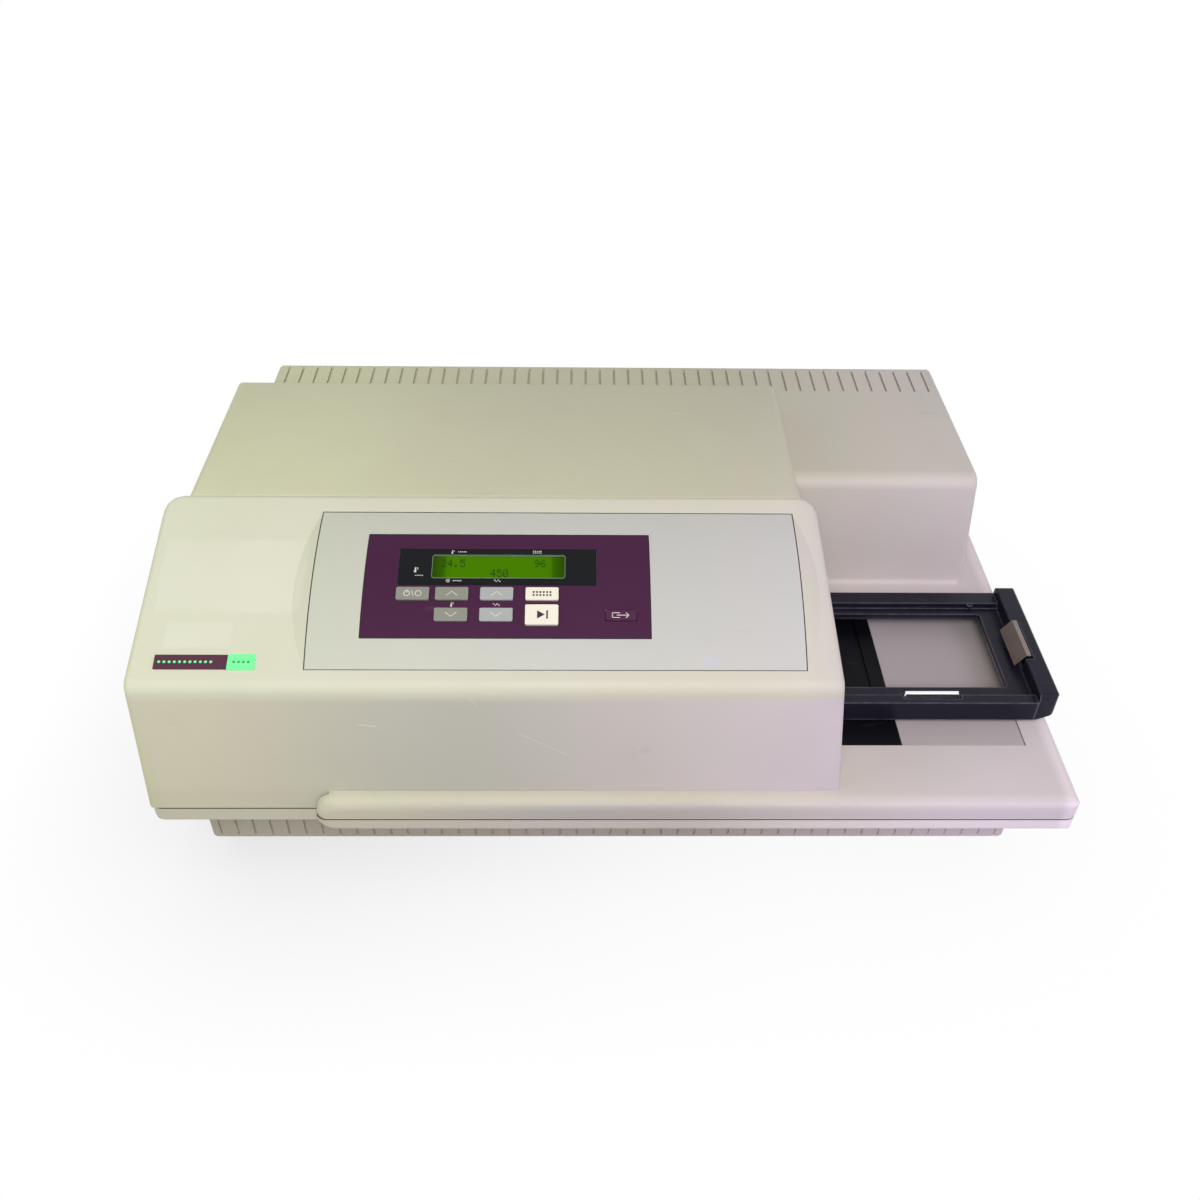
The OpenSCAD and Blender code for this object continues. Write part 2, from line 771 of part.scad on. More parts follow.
module rear_panel() place() color([0.55, 0.55, 0.56]) difference() {
  block([rear_x0 - 6, rear_face - rear_sheet, rear_low - 4], [rear_x1 + 6, rear_face, rear_high + 4]);
  // fan grille: slots cut from a circle
  intersection() {
    translate([fan_x, rear_face + over, rear_mid]) rotate([90, 0, 0]) cylinder(d = fan_w - 8, h = 10);
    for (i = [-4 : 4])
      block([fan_x + i * 5.6 - 1.9, rear_face - 5, rear_low],
        [fan_x + i * 5.6 + 1.9, rear_face + over, rear_high]);
  }
  rear_hole(inlet_x, 14 + seat, 11 + seat);
  rear_hole(switch_x, 9 + seat, 12 + seat);
  rear_hole(port_x, 9.5, 5.5);
}

module rear_hole(x, half_w, half_h) {
  block([x - half_w, rear_face - 5, rear_mid - half_h], [x + half_w, rear_face + over, rear_mid + half_h]);
}

module deck_plate() place() color([0.68, 0.66, 0.64])
  block([sill_end + seat, recess_y0 + 0.5, deck_z - recess_depth],
    [recess_x1 - 0.5, recess_y1 - 0.5, deck_z - recess_depth + deck_plate_t]);

module drawer_sill() place() color([0.07, 0.07, 0.09]) difference() {
  block([hood_w - 16.5, recess_y0 + seat, deck_z - recess_depth],
    [sill_end, recess_y1 - seat, deck_z - recess_depth + deck_plate_t + 0.1]);
  // groove beside the raised bar
  block([sill_end - 13, drawer_y + 6, deck_z - recess_depth + 0.5],
    [sill_end - 10, drawer_back - 6, deck_z + over]);
}

// ---------------------------------------------------------------- control panel

module key_cut(u, v, w, l) {
  on_crown(u, v) block([-w / 2, -l / 2, -8], [w / 2, l / 2, 6]);
}

module all_key_cuts(gap) {
  key_cut(key_switch_x, key_row1, key_w + 2 * gap, key_l + 2 * gap);
  for (u = [key_temp_x, key_wave_x], v = [key_row1, key_row2])
    key_cut(u, v, key_w + 2 * gap, key_l + 2 * gap);
  key_cut(key_read_x, key_row1, key_w + 2 * gap, key_l + 2 * gap);
  key_cut(key_read_x, key_read_y, key_w + 2 * gap, read_l + 2 * gap);
  key_cut(key_drawer_x, key_row2, drawer_key_w + 2 * gap, drawer_key_l + 2 * gap);
}

module control_panel() place() color([0.74, 0.74, 0.73]) difference() {
  crown_layer(-panel_w / 2, panel_w / 2, -panel_l / 2, panel_l / 2, 0, panel_t);
  crown_layer(overlay_x - overlay_w / 2 - 0.2, overlay_x + overlay_w / 2 + 0.2,
    -overlay_l / 2 - 0.2, overlay_l / 2 + 0.2, -1, overlay_t);
  on_crown(window_x, lens_y)
    block([-window_w / 2 - 0.2, -window_l / 2 - 0.2, -8], [window_w / 2 + 0.2, window_l / 2 + 0.2, 6]);
  all_key_cuts(key_gap);
}

module keypad_overlay() place() color([0.30, 0.17, 0.28]) difference() {
  crown_layer(overlay_x - overlay_w / 2, overlay_x + overlay_w / 2, -overlay_l / 2, overlay_l / 2, 0,
    overlay_t);
  on_crown(lens_x, lens_y) block([-lens_w / 2 - 0.1, -lens_l / 2 - 0.1, -3],
    [lens_w / 2 + 0.1, lens_l / 2 + 0.1, 3]);
  all_key_cuts(key_gap);
}

module display_lens() place() color([0.06, 0.07, 0.09]) difference() {
  crown_layer(lens_x - lens_w / 2, lens_x + lens_w / 2, lens_y - lens_l / 2, lens_y + lens_l / 2, 0,
    overlay_t);
  on_crown(window_x, lens_y) block([-window_w / 2, -window_l / 2, -3], [window_w / 2, window_l / 2, 3]);
}

module lcd_glass() place() color([0.35, 0.55, 0.05])
  on_crown(window_x, lens_y)
    block([-window_w / 2 + 0.2, -window_l / 2 + 0.2, -4.7], [window_w / 2 - 0.2, window_l / 2 - 0.2, -0.9]);

module lcd_module() place() color([0.10, 0.30, 0.18]) on_crown(window_x, lens_y) {
  block([-window_w / 2 - 8, -window_l / 2 - 6, -8.6], [window_w / 2 + 8, window_l / 2 + 6, -7]);
  difference() {
    block([-window_w / 2 - 4, -window_l / 2 - 3, -7], [window_w / 2 + 4, window_l / 2 + 3, -3.6]);
    block([-window_w / 2, -window_l / 2, -5], [window_w / 2, window_l / 2, 0]);
  }
}

// heights in the panel's frame, under the crown at a distance up the slope
function crown_foot(y) = panel_rise - crown_r + sqrt(pow(crown_r - panel_t, 2) - y * y);
function crown_deg(v) = v / crown_r * 180 / PI;
board_top = crown_foot(0) - 6;

module key_stud(u, v) {
  y = (crown_r - panel_t) * sin(crown_deg(v));
  top = crown_foot(abs(y) + 3) - board_gap - 3 * tan(abs(crown_deg(v)));
  translate([u, y, board_top]) cylinder(d = 6, h = top - board_top);
}

module keypad_board() place() color([0.12, 0.32, 0.20]) on_slope() {
  x0 = overlay_x - 74;
  x1 = overlay_x + 84;
  block([x0, -33, board_top - 1.6], [x1, -2.5, board_top]);
  for (x = [x0 + 3, x1 - 3], y = [-30, -5.5]) translate([x, y, board_top - 1])
    cylinder(d = 5, h = crown_foot(abs(y) + 2.5) - board_top + 1 - 0.05);
  key_stud(key_switch_x, key_row1);
  for (u = [key_temp_x, key_wave_x, key_read_x]) key_stud(u, key_row1);
  for (u = [key_temp_x, key_wave_x, key_drawer_x]) key_stud(u, key_row2);
  key_stud(key_read_x, key_read_y);
}

module key(u, v, w, l, rise) {
  on_crown(u, v) translate([0, 0, -key_depth])
    linear_extrude(key_depth + rise) round_rect([-w / 2, -l / 2], [w / 2, l / 2], 1);
}

module key_temp_switch() place() color([0.60, 0.59, 0.58])
  key(key_switch_x, key_row1, key_w, key_l, key_rise);
module key_temp_up() place() color([0.60, 0.59, 0.58]) key(key_temp_x, key_row1, key_w, key_l, key_rise);
module key_temp_down() place() color([0.60, 0.59, 0.58]) key(key_temp_x, key_row2, key_w, key_l, key_rise);
module key_wave_up() place() color([0.70, 0.70, 0.73]) key(key_wave_x, key_row1, key_w, key_l, key_rise);
module key_wave_down() place() color([0.70, 0.70, 0.73]) key(key_wave_x, key_row2, key_w, key_l, key_rise);
module key_plate_format() place() color([0.90, 0.87, 0.80])
  key(key_read_x, key_row1, key_w, key_l, key_rise);
module key_read() place() color([0.90, 0.87, 0.80])
  key(key_read_x, key_read_y, key_w, read_l, key_rise + 0.6);
module key_drawer() place() color([0.30, 0.17, 0.28])
  key(key_drawer_x, key_row2, drawer_key_w, drawer_key_l, key_rise / 4);

module badge(x0, x1, half, r) {
  translate([0, 21, hood_plane(21)]) rotate([slope, 0, 0]) translate([0, 0, 0.05])
    linear_extrude(0.8) round_rect([x0, -half], [x1, half], r);
}
module badge_plate() place() color([0.28, 0.13, 0.22])
  badge(badge_x, badge_x + badge_w - badge_tab_w - 0.1, badge_l / 2, 0.4);
module badge_tab() place() color([0.36, 0.90, 0.55])
  badge(badge_x + badge_w - badge_tab_w, badge_x + badge_w, badge_l / 2 + 0.5, 1.5);

// ---------------------------------------------------------------- drawer

module drawer_frame() place() color([0.13, 0.13, 0.16]) {
  frame_body();
  // locating peg
  translate([peg_x, pocket_y + pocket_w + peg_d / 2 - ledge_w, pocket_z - 1])
    cylinder(d = peg_d, h = pocket_depth + 0.4);
  // ledge along the back rail
  block([pocket_x + 4, pocket_y + pocket_w - ledge_w, pocket_z - 1],
    [cap_x, pocket_y + pocket_w + 1, pocket_z + ledge_h]);
}

module frame_body() difference() {
  block([frame_x, drawer_y, frame_z], [cap_x, drawer_back, rail_z]);
  // plate pocket
  round_block([pocket_x, pocket_y, pocket_z], [cap_x + over + 3, pocket_y + pocket_w, rail_z + over], 3);
  // hollow underside
  block([frame_x + 34, pocket_y, frame_z - over],
    [cap_x - 6, pocket_y + pocket_w, pocket_z - pocket_floor]);
  // light window
  round_block([light_x, light_y, frame_z - over], [light_x + light_l, light_y + light_w, rail_z + over],
    2.5);
  // slot of the front clip
  block([front_clip_x - seat, pocket_y - 3.8, pocket_z - 1],
    [front_clip_x + front_clip_l + 1, pocket_y + 5, rail_z + over]);
  // lightening of the carriage end
  round_block([frame_x + 8, drawer_y + 14, frame_z - over],
    [pocket_x - 8, drawer_back - 14, rail_z + over], 4);
}

module drawer_end_cap() place() color([0.14, 0.14, 0.17]) difference() {
  intersection() {
    along_y(drawer_y, drawer_back) polygon([
      [cap_x, frame_z], [cap_x + 1.5, frame_z], [end_x - 1.2, frame_z + 4.6], [end_x, frame_z + 6.4],
      [end_x, frame_z + cap_h - 1.2], [end_x - 1.2, frame_z + cap_h], [cap_x + 0.8, frame_z + cap_h],
      [cap_x, frame_z + cap_h - 0.8]]);
    along_x(cap_x - over, end_x + over)
      round_rect([drawer_y, frame_z - 4], [drawer_back, frame_z + cap_h], 3.5);
    round_block([cap_x - 20, drawer_y, frame_z - over], [end_x, drawer_back, frame_z + cap_h + over], 4);
  }
  // slot of the end clip
  block([cap_x - over, clip_y - clip_w / 2 - 1, pocket_z + 1.5],
    [cap_x + 5.5, clip_y + clip_w / 2 + 1, frame_z + cap_h + over]);
}

// sprung steel leaf that leans into the pocket and hooks into the cap's slot
module end_clip() place() color([0.72, 0.70, 0.68]) {
  z0 = pocket_z + 3.6;
  z1 = frame_z + cap_h + 2;
  along_y(clip_y - clip_w / 2, clip_y + clip_w / 2) polygon([
    [cap_x - 6, z0], [cap_x - 5.2, z0 - 0.3], [cap_x + 1.1, z1 - 0.8], [cap_x + 2.8, z1 - 0.8],
    [cap_x + 2.8, pocket_z + 1.5 + seat], [cap_x + 3.6, pocket_z + 1.5 + seat], [cap_x + 3.6, z1],
    [cap_x + 0.5, z1]]);
}

// leaf spring on the front rail, bowed into the pocket
module front_clip() place() color([0.80, 0.79, 0.78]) translate([0, 0, pocket_z - 1 + seat])
  linear_extrude(pocket_depth + 1.6) {
  polygon([[front_clip_x, pocket_y - 2], [front_clip_x + 0.8, pocket_y - 2],
    [front_clip_x + 2.6, front_clip_y - 0.7],
    [front_clip_x + front_clip_l, front_clip_y - 0.7], [front_clip_x + front_clip_l, front_clip_y],
    [front_clip_x + 2, front_clip_y]]);
}

module rod_blocks() place() color([0.16, 0.16, 0.18])
  for (y = [rod_front_y, rod_back_y]) difference() {
    block([carriage_x, y - block_half, rod_z - 7], [carriage_x + block_len, y + block_half, rod_z + 7]);
    translate([carriage_x - over, y, rod_z]) rotate([0, 90, 0])
      cylinder(d = rod_d + 2 * rod_clear, h = block_len + 2 * over);
  }

module belt_clamp() place() color([0.65, 0.65, 0.66]) difference() {
  block([carriage_x - 16, rod_back_y + block_half, belt_z - 4],
    [carriage_x + 8, belt_near + 4, belt_z + belt_w + 4]);
  block([carriage_x - 17, belt_near - belt_t / 2 - seat, belt_z - seat],
    [carriage_x + 9, belt_near + belt_t / 2 + seat, belt_z + belt_w + seat]);
}

// ---------------------------------------------------------------- drive

module guide_rods() place() color([0.78, 0.78, 0.80])
  for (y = [rod_front_y, rod_back_y])
    translate([rod_x0, y, rod_z]) rotate([0, 90, 0]) cylinder(d = rod_d, h = rod_x1 - rod_x0);

module rod_brackets() place() color([0.70, 0.71, 0.72])
  for (y = [rod_front_y, rod_back_y], x = [rod_x0, rod_x1 - bracket_t]) difference() {
    union() {
      block([x, y - block_half + seat, chassis_top], [x + bracket_t, y + block_half - seat, rod_z]);
      translate([x, y, rod_z]) rotate([0, 90, 0]) cylinder(r = block_half - seat, h = bracket_t);
    }
    translate([x - over, y, rod_z]) rotate([0, 90, 0]) cylinder(d = rod_d, h = bracket_t + 2 * over);
  }

module drawer_motor() place() color([0.20, 0.20, 0.21]) translate([motor_x, belt_y, chassis_top]) {
  linear_extrude(motor_h - 8) round_rect([-motor_w / 2, -motor_w / 2], [motor_w / 2, motor_w / 2], 4);
  translate([0, 0, motor_h - 8]) cylinder(d = 22, h = 2);
  cylinder(d = motor_shaft, h = belt_z + belt_w + 3 - chassis_top);
}

module pulley(bore_d) difference() {
  union() {
    cylinder(d = pulley_d + 4, h = 1);
    cylinder(d = pulley_d - belt_t - 0.1, h = belt_w + 3);
    translate([0, 0, belt_w + 2]) cylinder(d = pulley_d + 4, h = 1);
  }
  translate([0, 0, -over]) cylinder(d = bore_d, h = belt_w + 3 + 2 * over);
}

module motor_pulley() place() color([0.74, 0.74, 0.75])
  translate([motor_x, belt_y, belt_z - 1.5]) pulley(motor_shaft + 2 * rod_clear);
module idler_pulley() place() color([0.74, 0.74, 0.75])
  translate([idler_x, belt_y, belt_z - 1.5]) pulley(motor_shaft + 2 * rod_clear);

module idler_post() place() color([0.70, 0.71, 0.72]) translate([idler_x, belt_y, chassis_top]) {
  cylinder(d = 12, h = belt_z - 1.5 - seat - chassis_top);
  cylinder(d = motor_shaft, h = belt_z + belt_w + 3 - chassis_top);
}

module belt_loop(r) {
  for (x = [motor_x, idler_x]) translate([x, belt_y]) circle(r);
  translate([motor_x, belt_y - r]) square([idler_x - motor_x, 2 * r]);
}

module drive_belt() place() color([0.06, 0.06, 0.06])
  translate([0, 0, belt_z]) linear_extrude(belt_w) difference() {
    belt_loop((pulley_d + belt_t) / 2);
    belt_loop((pulley_d - belt_t) / 2);
  }

// ---------------------------------------------------------------- optics

module chassis_plate() place() color([0.66, 0.67, 0.68]) difference() {
  round_block([pan_inset + 3, pan_front + 3, band_z + 3],
    [case_w - pan_inset - 3, case_back - 18, chassis_top], 6);
  for (x = [case_w - 370, case_w - 120])
    round_block([x, 262, band_z], [x + 50, 302, chassis_top + over], 6);
}

module lamp_housing() place() color([0.30, 0.30, 0.31])
  translate([lamp_x1 - lamp_w, lamp_y1 - lamp_l, chassis_top])
  difference() {
    cube([lamp_w, lamp_l, lamp_h]);
    translate([3, 3, 3]) cube([lamp_w - 6, lamp_l - 6, lamp_h - 6]);
    translate([lamp_w + lamp_x - lamp_x1, lamp_l - 10, wheel_z - chassis_top]) rotate([-90, 0, 0])
      cylinder(d = 10, h = 20);
    for (x = [8 : 9 : 20]) translate([x, -2, 10]) cube([3, 10, lamp_h - 24]);
  }

module flash_lamp() place() color([0.85, 0.90, 0.95]) translate([lamp_x, lamp_y1 - lamp_l + 3, wheel_z])
  rotate([-90, 0, 0]) {
  cylinder(d = 24, h = 22);
  translate([0, 0, 22]) cylinder(d = 18, h = 18);
  translate([0, 0, 40]) sphere(9);
}

module filter_motor() place() color([0.22, 0.22, 0.23]) {
  translate([wheel_x, wheel_y - 30, wheel_z]) rotate([-90, 0, 0]) cylinder(d = 26, h = 24);
  block([wheel_x - 9, wheel_y - 28, chassis_top], [wheel_x + 9, wheel_y - 8, wheel_z - 10]);
  block([wheel_x - 13, wheel_y - 6, chassis_top], [wheel_x + 13, wheel_y - 3, wheel_z + 14]);
  translate([wheel_x, wheel_y - 3, wheel_z]) rotate([-90, 0, 0]) cylinder(d = 5, h = 8);
}

module filter_wheel() place() color([0.12, 0.12, 0.13]) translate([wheel_x, wheel_y - 1, wheel_z])
  rotate([-90, 0, 0]) difference() {
  union() {
    cylinder(d = wheel_d, h = 3);
    cylinder(d = 12, h = 6);
  }
  translate([0, 0, -over]) cylinder(d = 5 + 2 * rod_clear, h = 10);
  for (i = [0 : filter_count - 1]) rotate([0, 0, i * 360 / filter_count])
    translate([filter_ring, 0, -over]) cylinder(d = 9, h = 10);
}

module monochromator_body() place() color([0.13, 0.13, 0.14]) difference() {
  block([mono_x, mono_y, mono_z], [mono_x + mono_w, mono_y + mono_l, mono_z + mono_h]);
  block([mono_x + 4, mono_y + 4, mono_z + 4],
    [mono_x + mono_w - 4, mono_y + mono_l - 4, mono_z + mono_h + over]);
  // entrance slit and fibre exit
  block([wheel_x - filter_ring - 1, mono_y - over, wheel_z - 4],
    [wheel_x - filter_ring + 1, mono_y + 5, wheel_z + 4]);
  translate([mono_x + mono_w - 5, mono_y + 20, mono_z + 8]) rotate([0, 90, 0]) cylinder(d = 7, h = 10);
}

module monochromator_lid() place() color([0.16, 0.16, 0.17]) difference() {
  block([mono_x, mono_y, mono_z + mono_h], [mono_x + mono_w, mono_y + mono_l, mono_z + mono_h + 3]);
  translate([grating_x, grating_y, mono_z + mono_h - over]) cylinder(d = 8, h = 6);
}

module grating_motor() place() color([0.22, 0.22, 0.23])
  translate([grating_x, grating_y, mono_z + mono_h + 3]) {
  cylinder(d = 35, h = 22);
  translate([0, 0, -23]) cylinder(d = 5, h = 24);
}

module grating() place() color([0.55, 0.60, 0.70])
  translate([grating_x, grating_y, mono_z + mono_h - 44]) difference() {
  union() {
    cylinder(d = 16, h = 36);
    block([-20, -3, 0], [20, 3, 30]);
  }
  translate([0, 0, 22]) cylinder(d = 5 + 2 * rod_clear, h = 20);
}

bend_r = 20;
module fibre_bundle() place() color([0.05, 0.05, 0.06]) {
  z = mono_z + 8;
  y = mono_y + 20;
  translate([mono_x + mono_w - 4, y, z]) rotate([0, 90, 0])
    cylinder(d = 6, h = head_x - bend_r - mono_x - mono_w + 4);
  translate([head_x - bend_r, y - bend_r, z]) rotate_extrude(angle = 90)
    translate([bend_r, 0]) circle(d = 6);
}

module read_head() place() color([0.68, 0.68, 0.70]) difference() {
  union() {
    block([head_x - 8, head_y - head_half - 4, chassis_top],
      [head_x + 8, mono_y + 20 - bend_r, heater_z - 1]);
    block([head_x - 5, head_y - head_half - 2, chassis_top + 12.5],
      [head_x + 5, head_y + head_half + 2, deck_z]);
  }
  for (i = [0 : channel_count - 1])
    translate([head_x, head_y + (i - (channel_count - 1) / 2) * channel_pitch, deck_z - 4])
      cylinder(d = 2, h = 6);
}

module lower_heater() place() color([0.62, 0.52, 0.36]) difference() {
  union() {
    block([rod_x0 + 17, drawer_y + 4, heater_z], [rod_x1 - 11, drawer_back - 4, heater_z + heater_t]);
    for (x = [rod_x0 + 27, rod_x1 - 21], y = [drawer_y + 12, drawer_back - 30])
      translate([x, y, chassis_top]) cylinder(d = 8, h = heater_z - chassis_top + 1);
  }
  block([head_x - 7, head_y - head_half - 6, heater_z - over],
    [head_x + 7, head_y + head_half + 6, heater_z + heater_t + over]);
}

module upper_heater() place() color([0.62, 0.52, 0.36]) difference() {
  union() {
    block([rod_x0 + 11, drawer_y - 34, heater_top], [rod_x1 - 13, drawer_back + 66, heater_top + heater_t]);
    for (x = [rod_x0 + 33, rod_x1 - 23], y = [drawer_y - 28, drawer_back + 59]) translate([x, y, chassis_top])
      cylinder(d = 8, h = heater_top - chassis_top + 1);
  }
  block([head_x - 8, head_y - head_half - 6, heater_top - over],
    [head_x + 8, head_y + head_half + 6, heater_top + heater_t + over]);
}

module detector_board() place() color([0.12, 0.32, 0.20]) {
  z = heater_top + heater_t;
  block([head_x - 14, head_y - head_half - 12, z], [head_x + 14, head_y + head_half + 12, z + 1.6]);
  for (i = [0 : channel_count - 1])
    translate([head_x, head_y + (i - (channel_count - 1) / 2) * channel_pitch, z - heater_t])
      cylinder(d = 5, h = heater_t + over);
}

// ---------------------------------------------------------------- electronics

module main_board() place() color([0.10, 0.34, 0.18]) {
  z = pan_z + pan_wall + 6;
  translate([board_x, board_y, z]) cube([board_l, board_w, 1.6]);
  for (p = [[22, 28], [62, 98], [122, 38], [132, 108]]) translate([board_x + p.x, board_y + p.y, z])
    cube([34, 22, 5]);
  translate([board_x + 8, board_y + board_w - 18, z]) cube([84, 10, 12]);
}

module power_supply() place() color([0.62, 0.62, 0.60])
  translate([supply_x1 - supply_l, supply_y, pan_z + pan_wall]) difference() {
    cube([supply_l, supply_w, supply_h]);
    for (i = [0 : 9]) translate([12 + i * 15, -1, 9.5]) cube([4, 7, supply_h - 18]);
  }

module fan_frame() place() color([0.10, 0.10, 0.10])
  translate([fan_x, rear_face - rear_sheet, rear_mid]) rotate([90, 0, 0]) {
    linear_extrude(fan_d) difference() {
      round_rect([-fan_w / 2, -fan_w / 2], [fan_w / 2, fan_w / 2], 3);
      circle(d = fan_w - 4);
    }
    translate([0, 0, fan_d - 2.5]) linear_extrude(2.5) intersection() {
      circle(d = fan_w - 2);
      union() {
        circle(d = 24);
        for (a = [0, 45, 90, 135]) rotate(a) square([fan_w, 3], center = true);
      }
    }
    translate([0, 0, 8]) cylinder(d = 4, h = fan_d - 9);
  }

module fan_rotor() place() color([0.13, 0.13, 0.13])
  translate([fan_x, rear_face - rear_sheet, rear_mid]) rotate([90, 0, 0]) {
  difference() {
    translate([0, 0, 4]) cylinder(d = 26, h = fan_d - 8);
    translate([0, 0, 7]) cylinder(d = 4 + 2 * rod_clear, h = fan_d);
  }
  for (i = [0 : blade_count - 1]) rotate([0, 0, i * 360 / blade_count])
    translate([12, 0, fan_d / 2]) rotate([38, 0, 0]) block([0, -0.8, -8], [fan_w / 2 - 15.4, 0.8, 8]);
}

module power_inlet() place() color([0.08, 0.08, 0.08]) translate([inlet_x, rear_face, rear_mid])
  difference() {
  union() {
    block([-14, -26, -11], [14, 0, 11]);
    block([-18, 0, -13], [18, 2, 13]);
  }
  block([-12, -18, -8], [12, 2 + over, 8]);
}

rocker_tilt = 7;
rocker_y = -3;
module switch_body() place() color([0.06, 0.06, 0.06]) translate([switch_x, rear_face, rear_mid])
  difference() {
  union() {
    block([-9, -18, -12], [9, 0, 12]);
    block([-11, 0, -14], [11, 1.5, 14]);
  }
  block([-7.6, -12, -10.6], [7.6, 1.5 + over, 10.6]);
}

module switch_rocker() place() color([0.09, 0.09, 0.09])
  translate([switch_x, rear_face + rocker_y, rear_mid])
  rotate([-rocker_tilt, 0, 0]) along_x(-7.3, 7.3)
    polygon([[4.8, -9.6], [3.4, 0], [4.8, 9.6], [-2, 8.2], [-6, 0], [-2, -8.2]]);

module serial_port() place() color([0.60, 0.60, 0.62]) translate([port_x, rear_face, rear_mid])
  difference() {
  union() {
    block([-9.2, -12, -5.2], [9.2, 3.8, 5.2]);
    block([-15.5, 0, -6.2], [15.5, 1, 6.2]);
  }
  block([-8.2, 1, -4.2], [8.2, 3.8 + over, 4.2]);
}

base_pan();
rubber_feet();
lower_case();
upper_cover();
front_hood();
control_panel();
keypad_overlay();
display_lens();
lcd_glass();
lcd_module();
keypad_board();
badge_plate();
badge_tab();
deck_plate();
drawer_sill();
rear_panel();
case_screws();
chassis_plate();
main_board();
power_supply();
fan_frame();
fan_rotor();
power_inlet();
switch_body();
switch_rocker();
serial_port();
lamp_housing();
flash_lamp();
filter_motor();
filter_wheel();
monochromator_body();
monochromator_lid();
grating_motor();
grating();
fibre_bundle();
read_head();
lower_heater();
upper_heater();
detector_board();
guide_rods();
rod_brackets();
drawer_motor();
motor_pulley();
idler_post();
idler_pulley();
drive_belt();
drawer_frame();
drawer_end_cap();
rod_blocks();
belt_clamp();
end_clip();
front_clip();
key_temp_switch();
key_temp_up();
key_temp_down();
key_wave_up();
key_wave_down();
key_plate_format();
key_read();
key_drawer();
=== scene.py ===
"""Benchtop microplate reader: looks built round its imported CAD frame.

Every sub-assembly is a class that holds its own sizes in metres. Finishes are frozen
dataclasses that a small shader writer turns into node trees. The row frame is used all
through: +X towards the plate drawer, +Y towards the back, +Z up from the bench.
"""

import logging
import math
from dataclasses import dataclass, field
from enum import Enum
from functools import reduce
from typing import Callable, ClassVar, Iterable, Sequence

import bmesh
import bpy
from mathutils import Matrix, Vector

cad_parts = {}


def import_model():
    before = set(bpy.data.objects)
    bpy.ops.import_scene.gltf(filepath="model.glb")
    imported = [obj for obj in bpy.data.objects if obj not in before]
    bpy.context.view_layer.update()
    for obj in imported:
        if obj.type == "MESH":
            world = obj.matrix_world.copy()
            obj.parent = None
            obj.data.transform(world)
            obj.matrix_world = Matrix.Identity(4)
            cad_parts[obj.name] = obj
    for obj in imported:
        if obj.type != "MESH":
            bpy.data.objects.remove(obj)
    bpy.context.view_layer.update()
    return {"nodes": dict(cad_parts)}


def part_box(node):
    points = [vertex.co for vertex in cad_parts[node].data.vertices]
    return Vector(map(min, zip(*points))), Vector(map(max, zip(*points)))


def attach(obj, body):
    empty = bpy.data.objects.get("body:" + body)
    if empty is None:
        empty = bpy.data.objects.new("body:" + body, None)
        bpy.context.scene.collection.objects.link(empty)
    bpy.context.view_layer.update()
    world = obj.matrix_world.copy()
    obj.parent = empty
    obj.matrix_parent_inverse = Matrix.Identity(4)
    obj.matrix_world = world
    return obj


LOG = logging.getLogger("reader")
MM = 0.001
Colour = tuple[float, float, float]
Socket = bpy.types.NodeSocket
Sockets = bpy.types.bpy_prop_collection
Value = float | Socket


def srgb(red: int, green: int, blue: int) -> Colour:
    """Turns a display colour into the linear one that shaders use.

    Args:
        red: Red from 0 to 255.
        green: Green from 0 to 255.
        blue: Blue from 0 to 255.

    Returns:
        The linear colour.
    """

    def linear(value: int) -> float:
        """Turns one channel."""
        share = value / 255
        return share / 12.92 if share <= 0.04045 else ((share + 0.055) / 1.055) ** 2.4

    return (linear(red), linear(green), linear(blue))


class Axis(Enum):
    """A direction of the row frame."""

    X = 0
    Y = 1
    Z = 2


# ------------------------------------------------------------------ finishes


@dataclass(frozen=True)
class Finish:
    """What every finish has.

    Attributes:
        name: Name of the material.
        base: Linear base colour.
        roughness: Roughness of the clean surface.
        grain: Height of the moulded or rolled grain, in metres.
        grain_scale: Grains per metre.
    """

    name: str
    base: Colour
    roughness: float = 0.5
    grain: float = 0.00002
    grain_scale: float = 1400.0


@dataclass(frozen=True)
class ToneZone:
    """A region of a moulding with a tone of its own: aged, dirty, or painted light and shade.

    Attributes:
        spans: Axis, low and high limit of the region, one entry per limited axis.
        tints: What the colour is multiplied by at the left, middle and right stop.
        stops: The stops' places along x.
        blur: Half width of the region's soft border.
        level: Whether only level faces belong to the region.
    """

    spans: tuple[tuple[Axis, float, float], ...]
    tints: tuple[Colour, Colour, Colour]
    stops: tuple[float, float, float] = (-0.3, 0.0, 0.3)
    blur: float = 0.003
    level: bool = False


@dataclass(frozen=True)
class ShellFinish(Finish):
    """Aged moulded housing plastic that changes its tint across the case.

    Attributes:
        left: Linear colour at the left side.
        right: Linear colour at the right side.
        soil: Share of handling marks, from 0 to 1.
        ghost: Whether a faded rectangle shows on the hood.
        zones: Regions with a tone of their own, some of them painted light and shade.
        scratches: Whether fine scratches show on the front.
    """

    left: Colour = (0.6, 0.6, 0.5)
    right: Colour = (0.6, 0.5, 0.55)
    soil: float = 0.3
    ghost: bool = False
    zones: tuple[ToneZone, ...] = ()
    scratches: bool = False


@dataclass(frozen=True)
class PlasticFinish(Finish):
    """Even plastic, such as keys, film or a black moulding.

    Attributes:
        scuff: Share of pale scuffs, from 0 to 1.
        scuff_colour: Linear colour of the scuffs.
        coat: Strength of a clear gloss layer.
        specular: Strength of the plain reflection.
        worn: How far the outer edges take on the scuffs' colour, from 0 to 1: partly wear, mostly a painted highlight.
    """

    scuff: float = 0.0
    scuff_colour: Colour = (0.3, 0.3, 0.32)
    coat: float = 0.0
    specular: float = 0.25
    worn: float = 0.0


